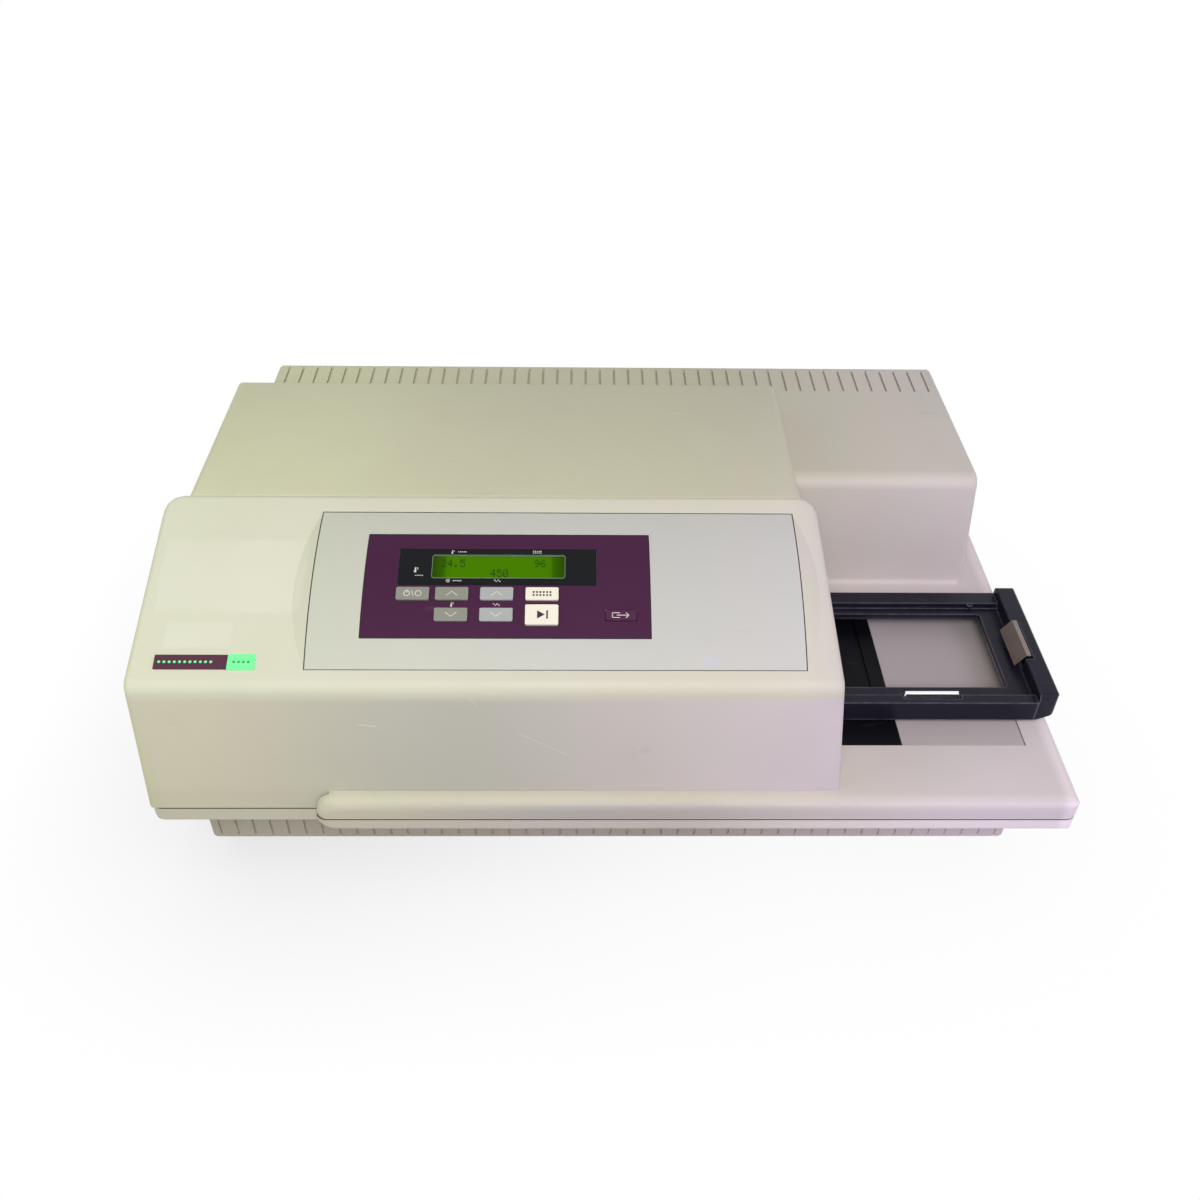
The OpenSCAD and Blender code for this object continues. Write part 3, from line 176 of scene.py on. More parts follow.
@dataclass(frozen=True)
class MetalFinish(Finish):
    """Bare or plated metal with a brushed direction.

    Attributes:
        along: The direction in which it is brushed.
        dirt: Share of dull spots, from 0 to 1.
    """

    along: Axis = Axis.X
    dirt: float = 0.2


@dataclass(frozen=True)
class DisplayFinish(Finish):
    """Lit liquid-crystal glass, brighter in its middle.

    Attributes:
        edge: Linear colour at the dim ends.
        glow: Strength of its own light.
        centre: Middle of the window along x, in metres.
        half: Half of the window's width, in metres.
    """

    edge: Colour = (0.05, 0.2, 0.0)
    glow: float = 0.3
    centre: float = 0.0
    half: float = 0.04


@dataclass(frozen=True)
class GlassFinish(Finish):
    """Clear glass of a lamp."""


class TreeWriter:
    """Writes one node tree: a material's, the world's or a group's."""

    def __init__(self, tree: bpy.types.NodeTree) -> None:
        """Empties the tree."""
        self.tree = tree
        tree.nodes.clear()

    def feed(self, node: bpy.types.Node, inputs: dict) -> None:
        """Sets or links inputs of a node.

        Args:
            node: The node.
            inputs: Socket name or number to a value, or to a socket to link from.
        """
        for key, value in inputs.items():
            socket = node.inputs[key]
            if isinstance(value, Socket):
                self.tree.links.new(value, socket)
            else:
                short = socket.type == "RGBA" and len(value) == 3
                socket.default_value = (*value, 1.0) if short else value

    def add(self, kind: str, inputs: dict | None = None, **settings: object) -> bpy.types.Node:
        """Adds a node.

        Args:
            kind: The node's type name.
            inputs: Its inputs, as feed takes them.
            **settings: Its properties.

        Returns:
            The new node.
        """
        node = self.tree.nodes.new(kind)
        for key, value in settings.items():
            setattr(node, key, value)
        self.feed(node, inputs or {})
        return node

    def maths(self, kind: str, *terms: Value, clamp: bool = False) -> Socket:
        """Adds a maths node."""
        return self.add("ShaderNodeMath", dict(enumerate(terms)), operation=kind, use_clamp=clamp).outputs[0]

    def fold(self, kind: str, parts: Iterable[Socket]) -> Socket:
        """Joins sockets one after the other by the same operation."""
        return reduce(lambda total, part: self.maths(kind, total, part), parts)

    def remap(self, value: Value, low: float, high: float, to_low: float = 0.0, to_high: float = 1.0) -> Socket:
        """Adds a smooth map range."""
        inputs = {"Value": value, "From Min": low, "From Max": high, "To Min": to_low, "To Max": to_high}
        return self.add("ShaderNodeMapRange", inputs, interpolation_type="SMOOTHSTEP").outputs["Result"]

    def band(self, value: Value, low: float, high: float, blur: float) -> Socket:
        """Masks a range of a value."""
        rise = self.remap(value, low - blur, low + blur)
        return self.maths("MULTIPLY", rise, self.remap(value, high - blur, high + blur, 1.0, 0.0))

    def mix(self, factor: Value, first: Colour | Socket, second: Colour | Socket, blend: str = "MIX") -> Socket:
        """Mixes two colours."""
        inputs = {0: factor, 6: first, 7: second}
        return self.add("ShaderNodeMix", inputs, data_type="RGBA", blend_type=blend).outputs[2]

    def noise(self, vector: Socket, scale: Value, detail: float = 3.0, rough: float = 0.5) -> Socket:
        """Adds a noise texture."""
        inputs = {"Vector": vector, "Scale": scale, "Detail": detail, "Roughness": rough}
        return self.add("ShaderNodeTexNoise", inputs).outputs["Fac"]

    def split(self, vector: Socket) -> Sockets:
        """Parts a vector."""
        return self.add("ShaderNodeSeparateXYZ", {0: vector}).outputs


class Effects:
    """Shader groups that several finishes share. They give only values, colours and normals."""

    streak_turn = (0.2, 0.1, 0.5)
    streak_scale = (40.0, 260.0, 90.0)
    # where the tone passes from left to middle and from middle to right, along x in metres
    blend_left = (-0.30, 0.02)
    blend_right = (0.02, 0.27)

    def __init__(self) -> None:
        """Builds the groups."""
        self.grain = self._grain()
        self.scuffs = self._scuffs()
        self.tone = self._tone()
        self.patches = self._patches()

    @staticmethod
    def _group(
        name: str, inputs: dict[str, object], outputs: dict[str, str]
    ) -> tuple[TreeWriter, Sockets, bpy.types.Node]:
        """Starts a group that takes a place.

        Args:
            name: The group's name.
            inputs: Its further inputs and their usual values.
            outputs: Its outputs and their kinds.

        Returns:
            Its writer, its given sockets and its sink.
        """
        tree = bpy.data.node_groups.new(name, "ShaderNodeTree")
        socket = tree.interface.new_socket
        socket(name="Vector", in_out="INPUT", socket_type="NodeSocketVector")
        for label, usual in inputs.items():
            kind = "NodeSocketColor" if isinstance(usual, tuple) else "NodeSocketFloat"
            socket(name=label, in_out="INPUT", socket_type=kind).default_value = usual
        for label, kind in outputs.items():
            socket(name=label, in_out="OUTPUT", socket_type="NodeSocket" + kind)
        w = TreeWriter(tree)
        return w, w.add("NodeGroupInput").outputs, w.add("NodeGroupOutput")

    def _grain(self) -> bpy.types.NodeTree:
        """Builds the fine grain: a normal, and the value under it.

        Returns:
            The group.
        """
        w, given, sink = self._group(
            "fx_grain", {"Scale": 1400.0, "Height": 0.00002}, {"Normal": "Vector", "Value": "Float"}
        )
        fine = w.noise(given["Vector"], given["Scale"], 2.0)
        bump = w.add("ShaderNodeBump", {"Height": fine, "Distance": given["Height"], "Strength": 1.0})
        w.feed(sink, {"Normal": bump.outputs["Normal"], "Value": fine})
        return w.tree

    def _scuffs(self) -> bpy.types.NodeTree:
        """Builds the mask of streaky scuffs.

        Returns:
            The group.
        """
        w, given, sink = self._group("fx_scuffs", {"Amount": 0.2}, {"Mask": "Float"})
        mapping = {"Vector": given["Vector"], "Rotation": self.streak_turn, "Scale": self.streak_scale}
        turned = w.add("ShaderNodeMapping", mapping).outputs["Vector"]
        lines = w.remap(w.noise(turned, 1.0, 5.0, 0.6), 0.62, 0.74)
        places = w.remap(w.noise(given["Vector"], 14.0, 2.0), 0.45, 0.65)
        both = w.maths("MULTIPLY", lines, places)
        w.feed(sink, {"Mask": w.maths("MULTIPLY", both, given["Amount"], clamp=True)})
        return w.tree

    def _tone(self) -> bpy.types.NodeTree:
        """Builds the colour that passes from left to right.

        Returns:
            The group.
        """
        usual = dict.fromkeys(("Left", "Middle", "Right"), (0.6, 0.6, 0.5, 1.0))
        w, given, sink = self._group("fx_tone", usual, {"Color": "Color"})
        wander = w.maths("MULTIPLY_ADD", w.noise(given["Vector"], 5.0, 2.0), 0.08, -0.04)
        across = w.maths("ADD", w.split(given["Vector"])["X"], wander)
        first = w.mix(w.remap(across, *self.blend_left), given["Left"], given["Middle"])
        w.feed(sink, {"Color": w.mix(w.remap(across, *self.blend_right), first, given["Right"])})
        return w.tree

    def _patches(self) -> bpy.types.NodeTree:
        """Builds the mask of wide patches.

        Returns:
            The group.
        """
        w, given, sink = self._group("fx_patches", {"Scale": 9.0}, {"Mask": "Float"})
        w.feed(sink, {"Mask": w.remap(w.noise(given["Vector"], given["Scale"], 4.0, 0.6), 0.4, 0.72)})
        return w.tree


class MaterialShop:
    """Turns finishes into materials, each one once."""

    stain, rub, grime = srgb(150, 140, 112), srgb(120, 112, 98), srgb(120, 108, 92)
    faded, scratched = srgb(246, 246, 236), srgb(250, 246, 240)
    stain_share, rub_share, grime_share = 0.10, 0.25, 0.06
    shell_patch, plastic_patch, metal_patch = 7.0, 22.0, 40.0
    grime_height = (0.082, 0.09)
    front_depth = (-0.1745, -0.172)
    # limits in x and y and strength of the hood's faded rectangles
    ghosts = ((-0.2755, -0.1875, -0.1285, -0.0815, 0.16), (-0.266, -0.227, -0.1505, -0.1345, 0.2))
    ghost_blur = 0.001
    # x, z, length, lean and strength of the front's scratches
    scratches = (
        (-0.148, 0.1395, 0.015, -0.16, 0.5),
        (-0.084, 0.158, 0.006, -1.4, 0.4),
        (-0.044, 0.1245, 0.038, -0.6, 0.3),
    )
    scratch_width = (0.0002, 0.0006)
    shell_specular = 0.3
    # reach of the painted edge highlight, which is partly wear
    edge_highlight_and_wear_reach = 0.0011
    coat_roughness = 0.12
    brush_scale = (30.0, 2200.0)
    tarnish = 0.45
    # shares of the display's half width: where it dims, and its end bars
    display_dim = (0.7, 0.98)
    display_bar = (0.79, 0.82)
    display_specular = 0.03
    lamp_clear, lamp_bend = 0.9, 1.46

    def __init__(self) -> None:
        """Starts with the shared effects and no materials."""
        self.effects = Effects()
        self.made: dict[str, bpy.types.Material] = {}

    def get(self, finish: Finish) -> bpy.types.Material:
        """Gives the material of a finish.

        Args:
            finish: The finish.

        Returns:
            The material.
        """
        if finish.name not in self.made:
            self.made[finish.name] = self._make(finish)
        return self.made[finish.name]

    @staticmethod
    def _effect(w: TreeWriter, group: bpy.types.NodeTree, place: Socket, **inputs: object) -> Sockets:
        """Places a shared effect and gives its outputs."""
        return w.add("ShaderNodeGroup", {"Vector": place, **inputs}, node_tree=group).outputs

    def _make(self, finish: Finish) -> bpy.types.Material:
        """Builds the material of a finish.

        Args:
            finish: The finish.

        Returns:
            The material.
        """
        material = bpy.data.materials.new(finish.name)
        material.use_nodes = True
        material.diffuse_color = (*finish.base, 1.0)
        w = TreeWriter(material.node_tree)
        place = w.add("ShaderNodeTexCoord").outputs["Object"]
        shader = w.add("ShaderNodeBsdfPrincipled")
        w.add("ShaderNodeOutputMaterial", {"Surface": shader.outputs["BSDF"]})
        grain = self._effect(w, self.effects.grain, place, Scale=finish.grain_scale, Height=finish.grain)
        w.feed(shader, {"Normal": grain["Normal"]})
        writers: dict[type, Callable] = {
            ShellFinish: self._shell,
            PlasticFinish: self._plastic,
            MetalFinish: self._metal,
            DisplayFinish: self._display,
            GlassFinish: self._glass,
        }
        w.feed(shader, writers[type(finish)](w, finish, place, grain))
        return material

    def _shell(self, w: TreeWriter, finish: ShellFinish, place: Socket, grain: Sockets) -> dict:
        """Writes aged housing plastic.

        Args:
            w: The tree's writer.
            finish: The finish.
            place: Socket of the place in the object.
            grain: The grain effect's sockets.

        Returns:
            The surface shader's inputs.
        """
        fx = self.effects
        tone = self._effect(w, fx.tone, place, Left=finish.left, Middle=finish.base, Right=finish.right)["Color"]
        patch = self._effect(w, fx.patches, place, Scale=self.shell_patch)["Mask"]
        scuff = self._effect(w, fx.scuffs, place, Amount=finish.soil)["Mask"]
        colour = w.mix(w.maths("MULTIPLY", patch, self.stain_share * finish.soil), tone, self.stain, "MULTIPLY")
        colour = w.mix(w.maths("MULTIPLY", scuff, self.rub_share), colour, self.rub)
        split = w.split(place)
        if finish.ghost:
            colour = w.mix(self._ghost_mask(w, place, split), colour, self.faded)
        if finish.scratches:
            colour = w.mix(self._scratch_mask(w, split), colour, self.scratched)
        for zone in finish.zones:
            tint = self._zone_tint(w, split["X"], zone)
            colour = w.mix(self._zone_mask(w, split, zone), colour, tint, "MULTIPLY")
        # a soft grime line where walls meet the deck and the seams
        low = w.maths("MULTIPLY", w.remap(split["Z"], *self.grime_height, 1.0, 0.0), self.grime_share)
        rough = w.maths("MULTIPLY_ADD", patch, 0.10, finish.roughness)
        return {
            "Base Color": w.mix(low, colour, self.grime),
            "Roughness": w.maths("MULTIPLY_ADD", grain["Value"], 0.05, rough),
            "Specular IOR Level": self.shell_specular,
        }

    @staticmethod
    def _zone_mask(w: TreeWriter, split: Sockets, zone: ToneZone) -> Socket:
        """Masks a region.

        Args:
            w: The tree's writer.
            split: The place's sockets by axis.
            zone: The region.

        Returns:
            The mask's socket.
        """
        masks = [w.band(split[axis.name], low, high, zone.blur) for axis, low, high in zone.spans]
        if zone.level:
            up = w.split(w.add("ShaderNodeTexCoord").outputs["Normal"])["Z"]
            masks.append(w.remap(up, 0.3, 0.95))
        return w.fold("MULTIPLY", masks)

    @staticmethod
    def _zone_tint(w: TreeWriter, x: Socket, zone: ToneZone) -> Socket:
        """Gives a region's tint along x."""
        first = w.mix(w.remap(x, *zone.stops[:2]), *zone.tints[:2])
        return w.mix(w.remap(x, *zone.stops[1:]), first, zone.tints[2])

    def _ghost_mask(self, w: TreeWriter, place: Socket, split: Sockets) -> Socket:
        """Masks the hood's faded rectangles.

        Args:
            w: The tree's writer.
            place: Socket of the place in the object.
            split: The place's sockets by axis.

        Returns:
            The mask's socket.
        """
        edge = w.maths("MULTIPLY_ADD", w.noise(place, 60.0, 3.0), 0.004, -0.002)
        x, y = (w.maths("ADD", split[axis], edge) for axis in "XY")
        marks = []
        for x0, x1, y0, y1, depth in self.ghosts:
            across, along = w.band(x, x0, x1, self.ghost_blur), w.band(y, y0, y1, self.ghost_blur)
            marks.append(w.maths("MULTIPLY", w.maths("MULTIPLY", across, along), depth))
        worn = w.remap(w.noise(place, 24.0, 2.0), 0.25, 0.7, 0.5, 1.0)
        return w.maths("MULTIPLY", w.fold("MAXIMUM", marks), worn)

    def _scratch_mask(self, w: TreeWriter, split: Sockets) -> Socket:
        """Masks the front's fine scratches.

        Args:
            w: The tree's writer.
            split: The place's sockets by axis.

        Returns:
            The mask's socket.
        """
        marks = []
        for x, z, length, lean, depth in self.scratches:
            dx, dz = w.maths("SUBTRACT", split["X"], x), w.maths("SUBTRACT", split["Z"], z)
            off = w.maths("ABSOLUTE", w.maths("MULTIPLY_ADD", dx, -lean, dz))
            ends = w.remap(w.maths("ABSOLUTE", dx), length * 0.3, length * 0.5, 1.0, 0.0)
            line = w.maths("MULTIPLY", w.remap(off, *self.scratch_width, 1.0, 0.0), ends)
            marks.append(w.maths("MULTIPLY", line, depth))
        front = w.remap(split["Y"], *self.front_depth, 1.0, 0.0)
        return w.maths("MULTIPLY", w.fold("MAXIMUM", marks), front)

    def _plastic(self, w: TreeWriter, finish: PlasticFinish, place: Socket, grain: Sockets) -> dict:
        """Writes even plastic.

        Args:
            w: The tree's writer.
            finish: The finish.
            place: Socket of the place in the object.
            grain: Not used.

        Returns:
            The surface shader's inputs.
        """
        patch = self._effect(w, self.effects.patches, place, Scale=self.plastic_patch)["Mask"]
        scuff = self._effect(w, self.effects.scuffs, place, Amount=finish.scuff)["Mask"]
        paler = tuple(min(1.0, c * 1.25 + 0.004) for c in finish.base)
        colour = w.mix(w.maths("MULTIPLY", patch, 0.12), finish.base, paler)
        colour = w.mix(scuff, colour, finish.scuff_colour)
        if finish.worn > 0:
            # painted highlight, partly wear: a point near an outer edge meets its neighbour face when it looks inwards
            settings = {"samples": 8, "inside": True, "only_local": True}
            inwards = w.add("ShaderNodeAmbientOcclusion", {"Distance": self.edge_highlight_and_wear_reach}, **settings).outputs["AO"]
            patchy = w.remap(w.noise(place, 160.0, 3.0), 0.3, 0.7, 0.5, 1.0)
            edge = w.maths("MULTIPLY", w.remap(inwards, 0.98, 0.6, 0.0, finish.worn), patchy)
            colour = w.mix(edge, colour, finish.scuff_colour)
        rough = w.maths("MULTIPLY_ADD", patch, 0.08, finish.roughness)
        return {
            "Base Color": colour,
            "Roughness": w.maths("MULTIPLY_ADD", scuff, 0.2, rough),
            "Specular IOR Level": finish.specular,
            "Coat Weight": finish.coat,
            "Coat Roughness": self.coat_roughness,
        }

    def _metal(self, w: TreeWriter, finish: MetalFinish, place: Socket, grain: Sockets) -> dict:
        """Writes brushed metal.

        Args:
            w: The tree's writer.
            finish: The finish.
            place: Socket of the place in the object.
            grain: Not used.

        Returns:
            The surface shader's inputs.
        """
        along, across = self.brush_scale
        stretch = tuple(along if axis is finish.along else across for axis in Axis)
        lines = w.add("ShaderNodeMapping", {"Vector": place, "Scale": stretch}).outputs["Vector"]
        patch = self._effect(w, self.effects.patches, place, Scale=self.metal_patch)["Mask"]
        dull = w.maths("MULTIPLY", patch, finish.dirt)
        rough = w.maths("MULTIPLY_ADD", w.noise(lines, 1.0, 4.0), 0.22, finish.roughness - 0.1)
        return {
            "Base Color": w.mix(dull, finish.base, tuple(c * self.tarnish for c in finish.base)),
            "Roughness": w.maths("MULTIPLY_ADD", dull, 0.3, rough),
            "Metallic": 1.0,
        }

    def _display(self, w: TreeWriter, finish: DisplayFinish, place: Socket, grain: Sockets) -> dict:
        """Writes the lit display.

        Args:
            w: The tree's writer.
            finish: The finish.
            place: Socket of the place in the object.
            grain: Not used.

        Returns:
            The surface shader's inputs.
        """
        far = w.maths("ABSOLUTE", w.maths("SUBTRACT", w.split(place)["X"], finish.centre))
        ends, bars = (w.remap(far, *(finish.half * share for share in z)) for z in (self.display_dim, self.display_bar))
        lit = w.mix(ends, finish.base, finish.edge)
        colour = w.mix(w.maths("MULTIPLY", bars, 0.3), lit, tuple(c * 0.4 for c in finish.edge))
        return {
            "Base Color": colour,
            "Emission Color": colour,
            "Emission Strength": finish.glow,
            "Roughness": finish.roughness,
            "Specular IOR Level": self.display_specular,
        }

    def _glass(self, w: TreeWriter, finish: GlassFinish, place: Socket, grain: Sockets) -> dict:
        """Writes a lamp's glass.

        Args:
            w: The tree's writer.
            finish: The finish.
            place: Socket of the place in the object.
            grain: Not used.

        Returns:
            The surface shader's inputs.
        """
        return {
            "Base Color": finish.base,
            "Roughness": w.maths("MULTIPLY_ADD", w.noise(place, 120.0, 2.0), 0.05, finish.roughness),
            "Transmission Weight": self.lamp_clear,
            "IOR": self.lamp_bend,
        }


class Palette:
    """The finishes of the whole instrument."""

    bright_smudge = ToneZone(
        ((Axis.X, 0.0505, 0.0595), (Axis.Y, -0.1605, -0.1575)), ((0.98, 1.0, 1.22),) * 3, blur=0.0018
    )
    seam_dirt = ToneZone(((Axis.Z, 0.06845, 0.06955),), ((0.3, 0.24, 0.2),) * 3, blur=0.0001)
    case = ShellFinish(
        "case_plastic",
        srgb(203, 197, 181),
        0.46,
        left=srgb(208, 207, 182),
        right=srgb(212, 201, 206),
        soil=0.5,
        zones=(
            # the lip's front: painted shade in the middle, painted light towards the right
            ToneZone(
                ((Axis.Y, -1.0, -0.1765), (Axis.Z, 0.069, 0.082)),
                ((1.0, 0.99, 0.98), (0.81, 0.8, 0.96), (1.07, 1.04, 1.17)),
                (-0.2, 0.0, 0.2),
            ),
            # the band under the seam, painted paler towards the right: painted light
            ToneZone(
                ((Axis.Y, -1.0, -0.17), (Axis.Z, 0.0, 0.069)),
                ((1.0, 0.97, 1.03), (1.02, 0.99, 1.15), (1.42, 1.38, 1.55)),
                (-0.2, 0.0, 0.2),
            ),
            # painted highlight on the deck's rounded right end
            ToneZone(((Axis.X, 0.281, 1.0), (Axis.Z, 0.0, 0.09)), ((1.18, 1.18, 1.22),) * 3),
            # the level tops at the back, yellower and darker towards the right
            ToneZone(
                ((Axis.Y, -0.06, 1.0), (Axis.Z, 0.12, 1.0)),
                ((1.05, 1.08, 0.98), (0.95, 0.98, 0.885), (0.9, 0.93, 0.84)),
                (-0.22, -0.03, 0.12),
                level=True,
            ),
            seam_dirt,
        ),
    )
    hood = ShellFinish(
        "hood_plastic",
        srgb(208, 203, 188),
        0.44,
        left=srgb(218, 219, 196),
        right=srgb(214, 205, 208),
        soil=0.4,
        ghost=True,
        scratches=True,
        zones=(
            # painted shade: the front is darker than the top, as the light falls, and a little less yellow
            ToneZone(
                ((Axis.Y, -1.0, -0.171), (Axis.Z, -1.0, 0.1605)),
                ((0.93, 0.88, 0.86), (0.79, 0.79, 0.86), (1.0, 0.94, 1.14)),
                (-0.265, -0.1, 0.08),
                0.004,
            ),
            ToneZone(((Axis.X, 0.125, 1.0), (Axis.Z, 0.158, 1.0)), ((0.88, 0.86, 0.94),) * 3, blur=0.02),
            # the left end, a little yellower
            ToneZone(((Axis.X, -1.0, -0.284),), ((0.98, 1.0, 0.9),) * 3, blur=0.005),
            seam_dirt,
        ),
    )
    # the pan's right end is painted much paler: painted light where it lies in shade
    pan = ShellFinish(
        "pan_plastic", srgb(188, 178, 172), 0.55, left=srgb(188, 182, 166), right=srgb(226, 210, 224), soil=0.5
    )
    panel = ShellFinish(
        "panel_plastic",
        srgb(195, 193, 190),
        0.42,
        left=srgb(202, 206, 184),
        right=srgb(199, 194, 206),
        soil=0.35,
        zones=(bright_smudge,),
    )
    overlay = PlasticFinish(
        "overlay_film", srgb(69, 33, 63), 0.42, grain=0.000012, grain_scale=2600.0, scuff=0.05, specular=0.1
    )
    lens = PlasticFinish("lens_film", srgb(20, 23, 26), 0.25, grain=0.000002, specular=0.1)
    display = DisplayFinish(
        "display_glass", srgb(64, 116, 0), 0.3, 0.000001, edge=srgb(44, 82, 0), glow=0.14, centre=-0.07125, half=0.0400
    )
    ink = PlasticFinish("display_ink", srgb(26, 48, 6), 0.5, grain=0.0, specular=0.1)
    print_cream = PlasticFinish("print_cream", srgb(224, 218, 206), 0.5, grain=0.0)
    window_rim = PlasticFinish("window_rim", srgb(126, 140, 116), 0.4, grain=0.0, specular=0.3)
    # dark strips put in the panel's gaps: painted shade
    gap_shade = PlasticFinish("panel_gap_shade", srgb(48, 44, 42), 0.7, specular=0.1)
    print_dark = PlasticFinish("print_dark", srgb(44, 42, 46), 0.5, grain=0.0, specular=0.2)
    key_grey = PlasticFinish("key_grey", srgb(139, 140, 130), 0.45, grain=0.00001)
    key_blue = PlasticFinish("key_blue", srgb(168, 170, 171), 0.45, grain=0.00001)
    key_cream = PlasticFinish(
        "key_cream", srgb(236, 230, 214), 0.42, grain=0.00001, scuff=0.05, scuff_colour=srgb(170, 160, 140)
    )
    key_plum = PlasticFinish("key_plum", srgb(76, 40, 70), 0.42, grain=0.00001, specular=0.1)
    badge_plum = PlasticFinish(
        "badge_plum", srgb(84, 44, 64), 0.38, grain=0.000006, scuff=0.15, scuff_colour=srgb(150, 130, 140)
    )
    badge_green = PlasticFinish("badge_green", srgb(58, 160, 92), 0.45, grain=0.000006)
    badge_mint = PlasticFinish(
        "badge_mint", srgb(128, 255, 166), 0.45, grain=0.000006, scuff=0.1, scuff_colour=srgb(200, 250, 210)
    )
    sill = PlasticFinish(
        "sill_plastic",
        srgb(8, 8, 14),
        0.42,
        grain=0.00004,
        grain_scale=900.0,
        scuff=0.9,
        scuff_colour=srgb(74, 72, 90),
        specular=0.1,
    )
    deck = ShellFinish(
        "deck_paint",
        srgb(180, 170, 174),
        0.4,
        left=srgb(180, 170, 174),
        right=srgb(184, 174, 178),
        soil=0.3,
        zones=(
            # painted shade: the plate is darker where the drawer lies over it
            ToneZone(((Axis.Y, -0.103, 0.0),), ((0.87, 0.87, 0.9),) * 3, blur=0.008),
            # painted shadow of the end cap and clips on the plate's right end
            ToneZone(((Axis.X, 0.25, 1.0), (Axis.Y, -0.103, -0.02)), ((0.84, 0.84, 0.76),) * 3, blur=0.012),
        ),
    )
    drawer = PlasticFinish(
        "drawer_plastic",
        srgb(27, 26, 39),
        0.3,
        grain_scale=1100.0,
        scuff=0.5,
        scuff_colour=srgb(100, 98, 116),
        specular=0.16,
        # painted highlight along the outer edges, partly wear
        worn=0.75,
    )
    black = PlasticFinish("black_plastic", srgb(36, 36, 38), 0.5, grain=0.00003, scuff=0.1)
    rubber = PlasticFinish("rubber", srgb(32, 32, 33), 0.75, grain=0.00006, grain_scale=700.0)
    board = PlasticFinish(
        "board_mask", srgb(24, 92, 52), 0.35, grain=0.00001, scuff=0.1, scuff_colour=srgb(60, 130, 80), coat=0.3
    )
    spring = MetalFinish("spring_steel", (0.235, 0.2, 0.19), 0.34, 0.000003, along=Axis.Z, dirt=0.25)
    # a paler copy of the spring steel for the front clip: painted highlight of its fold
    spring_painted_highlight = MetalFinish("spring_painted_highlight", (0.93, 0.93, 0.95), 0.38, 0.000001, along=Axis.X, dirt=0.02)
    steel = MetalFinish("ground_steel", (0.62, 0.62, 0.63), 0.28, 0.000002, along=Axis.X, dirt=0.12)
    screw = MetalFinish("screw_steel", (0.55, 0.55, 0.56), 0.32, 0.000003, along=Axis.Y, dirt=0.3)
    aluminium = MetalFinish("aluminium", (0.72, 0.72, 0.73), 0.38, 0.000005, along=Axis.Y, dirt=0.15)
    dark_metal = MetalFinish("dark_metal", (0.09, 0.09, 0.10), 0.45, 0.00001, along=Axis.X, dirt=0.1)
    grey_metal = PlasticFinish(
        "grey_paint", srgb(150, 150, 152), 0.42, grain=0.00003, scuff=0.1, scuff_colour=srgb(110, 110, 112)
    )
    heater = MetalFinish("heater_plate", (0.52, 0.42, 0.28), 0.4, 0.000005, along=Axis.X, dirt=0.2)
    ruled = MetalFinish("ruled_mirror", (0.72, 0.78, 0.84), 0.16, 0.000002, along=Axis.Z, dirt=0.02)
    lamp = GlassFinish("lamp_glass", (0.92, 0.95, 1.0), 0.05, 0.000002)


# ------------------------------------------------------------------ mesh tools


def put(name: str, data: bpy.types.ID) -> bpy.types.Object:
    """Puts an object into the scene.

    Args:
        name: Its name.
        data: Its mesh, light or camera.

    Returns:
        The object.
    """
    made = bpy.data.objects.new(name, data)
    bpy.context.scene.collection.objects.link(made)
    return made


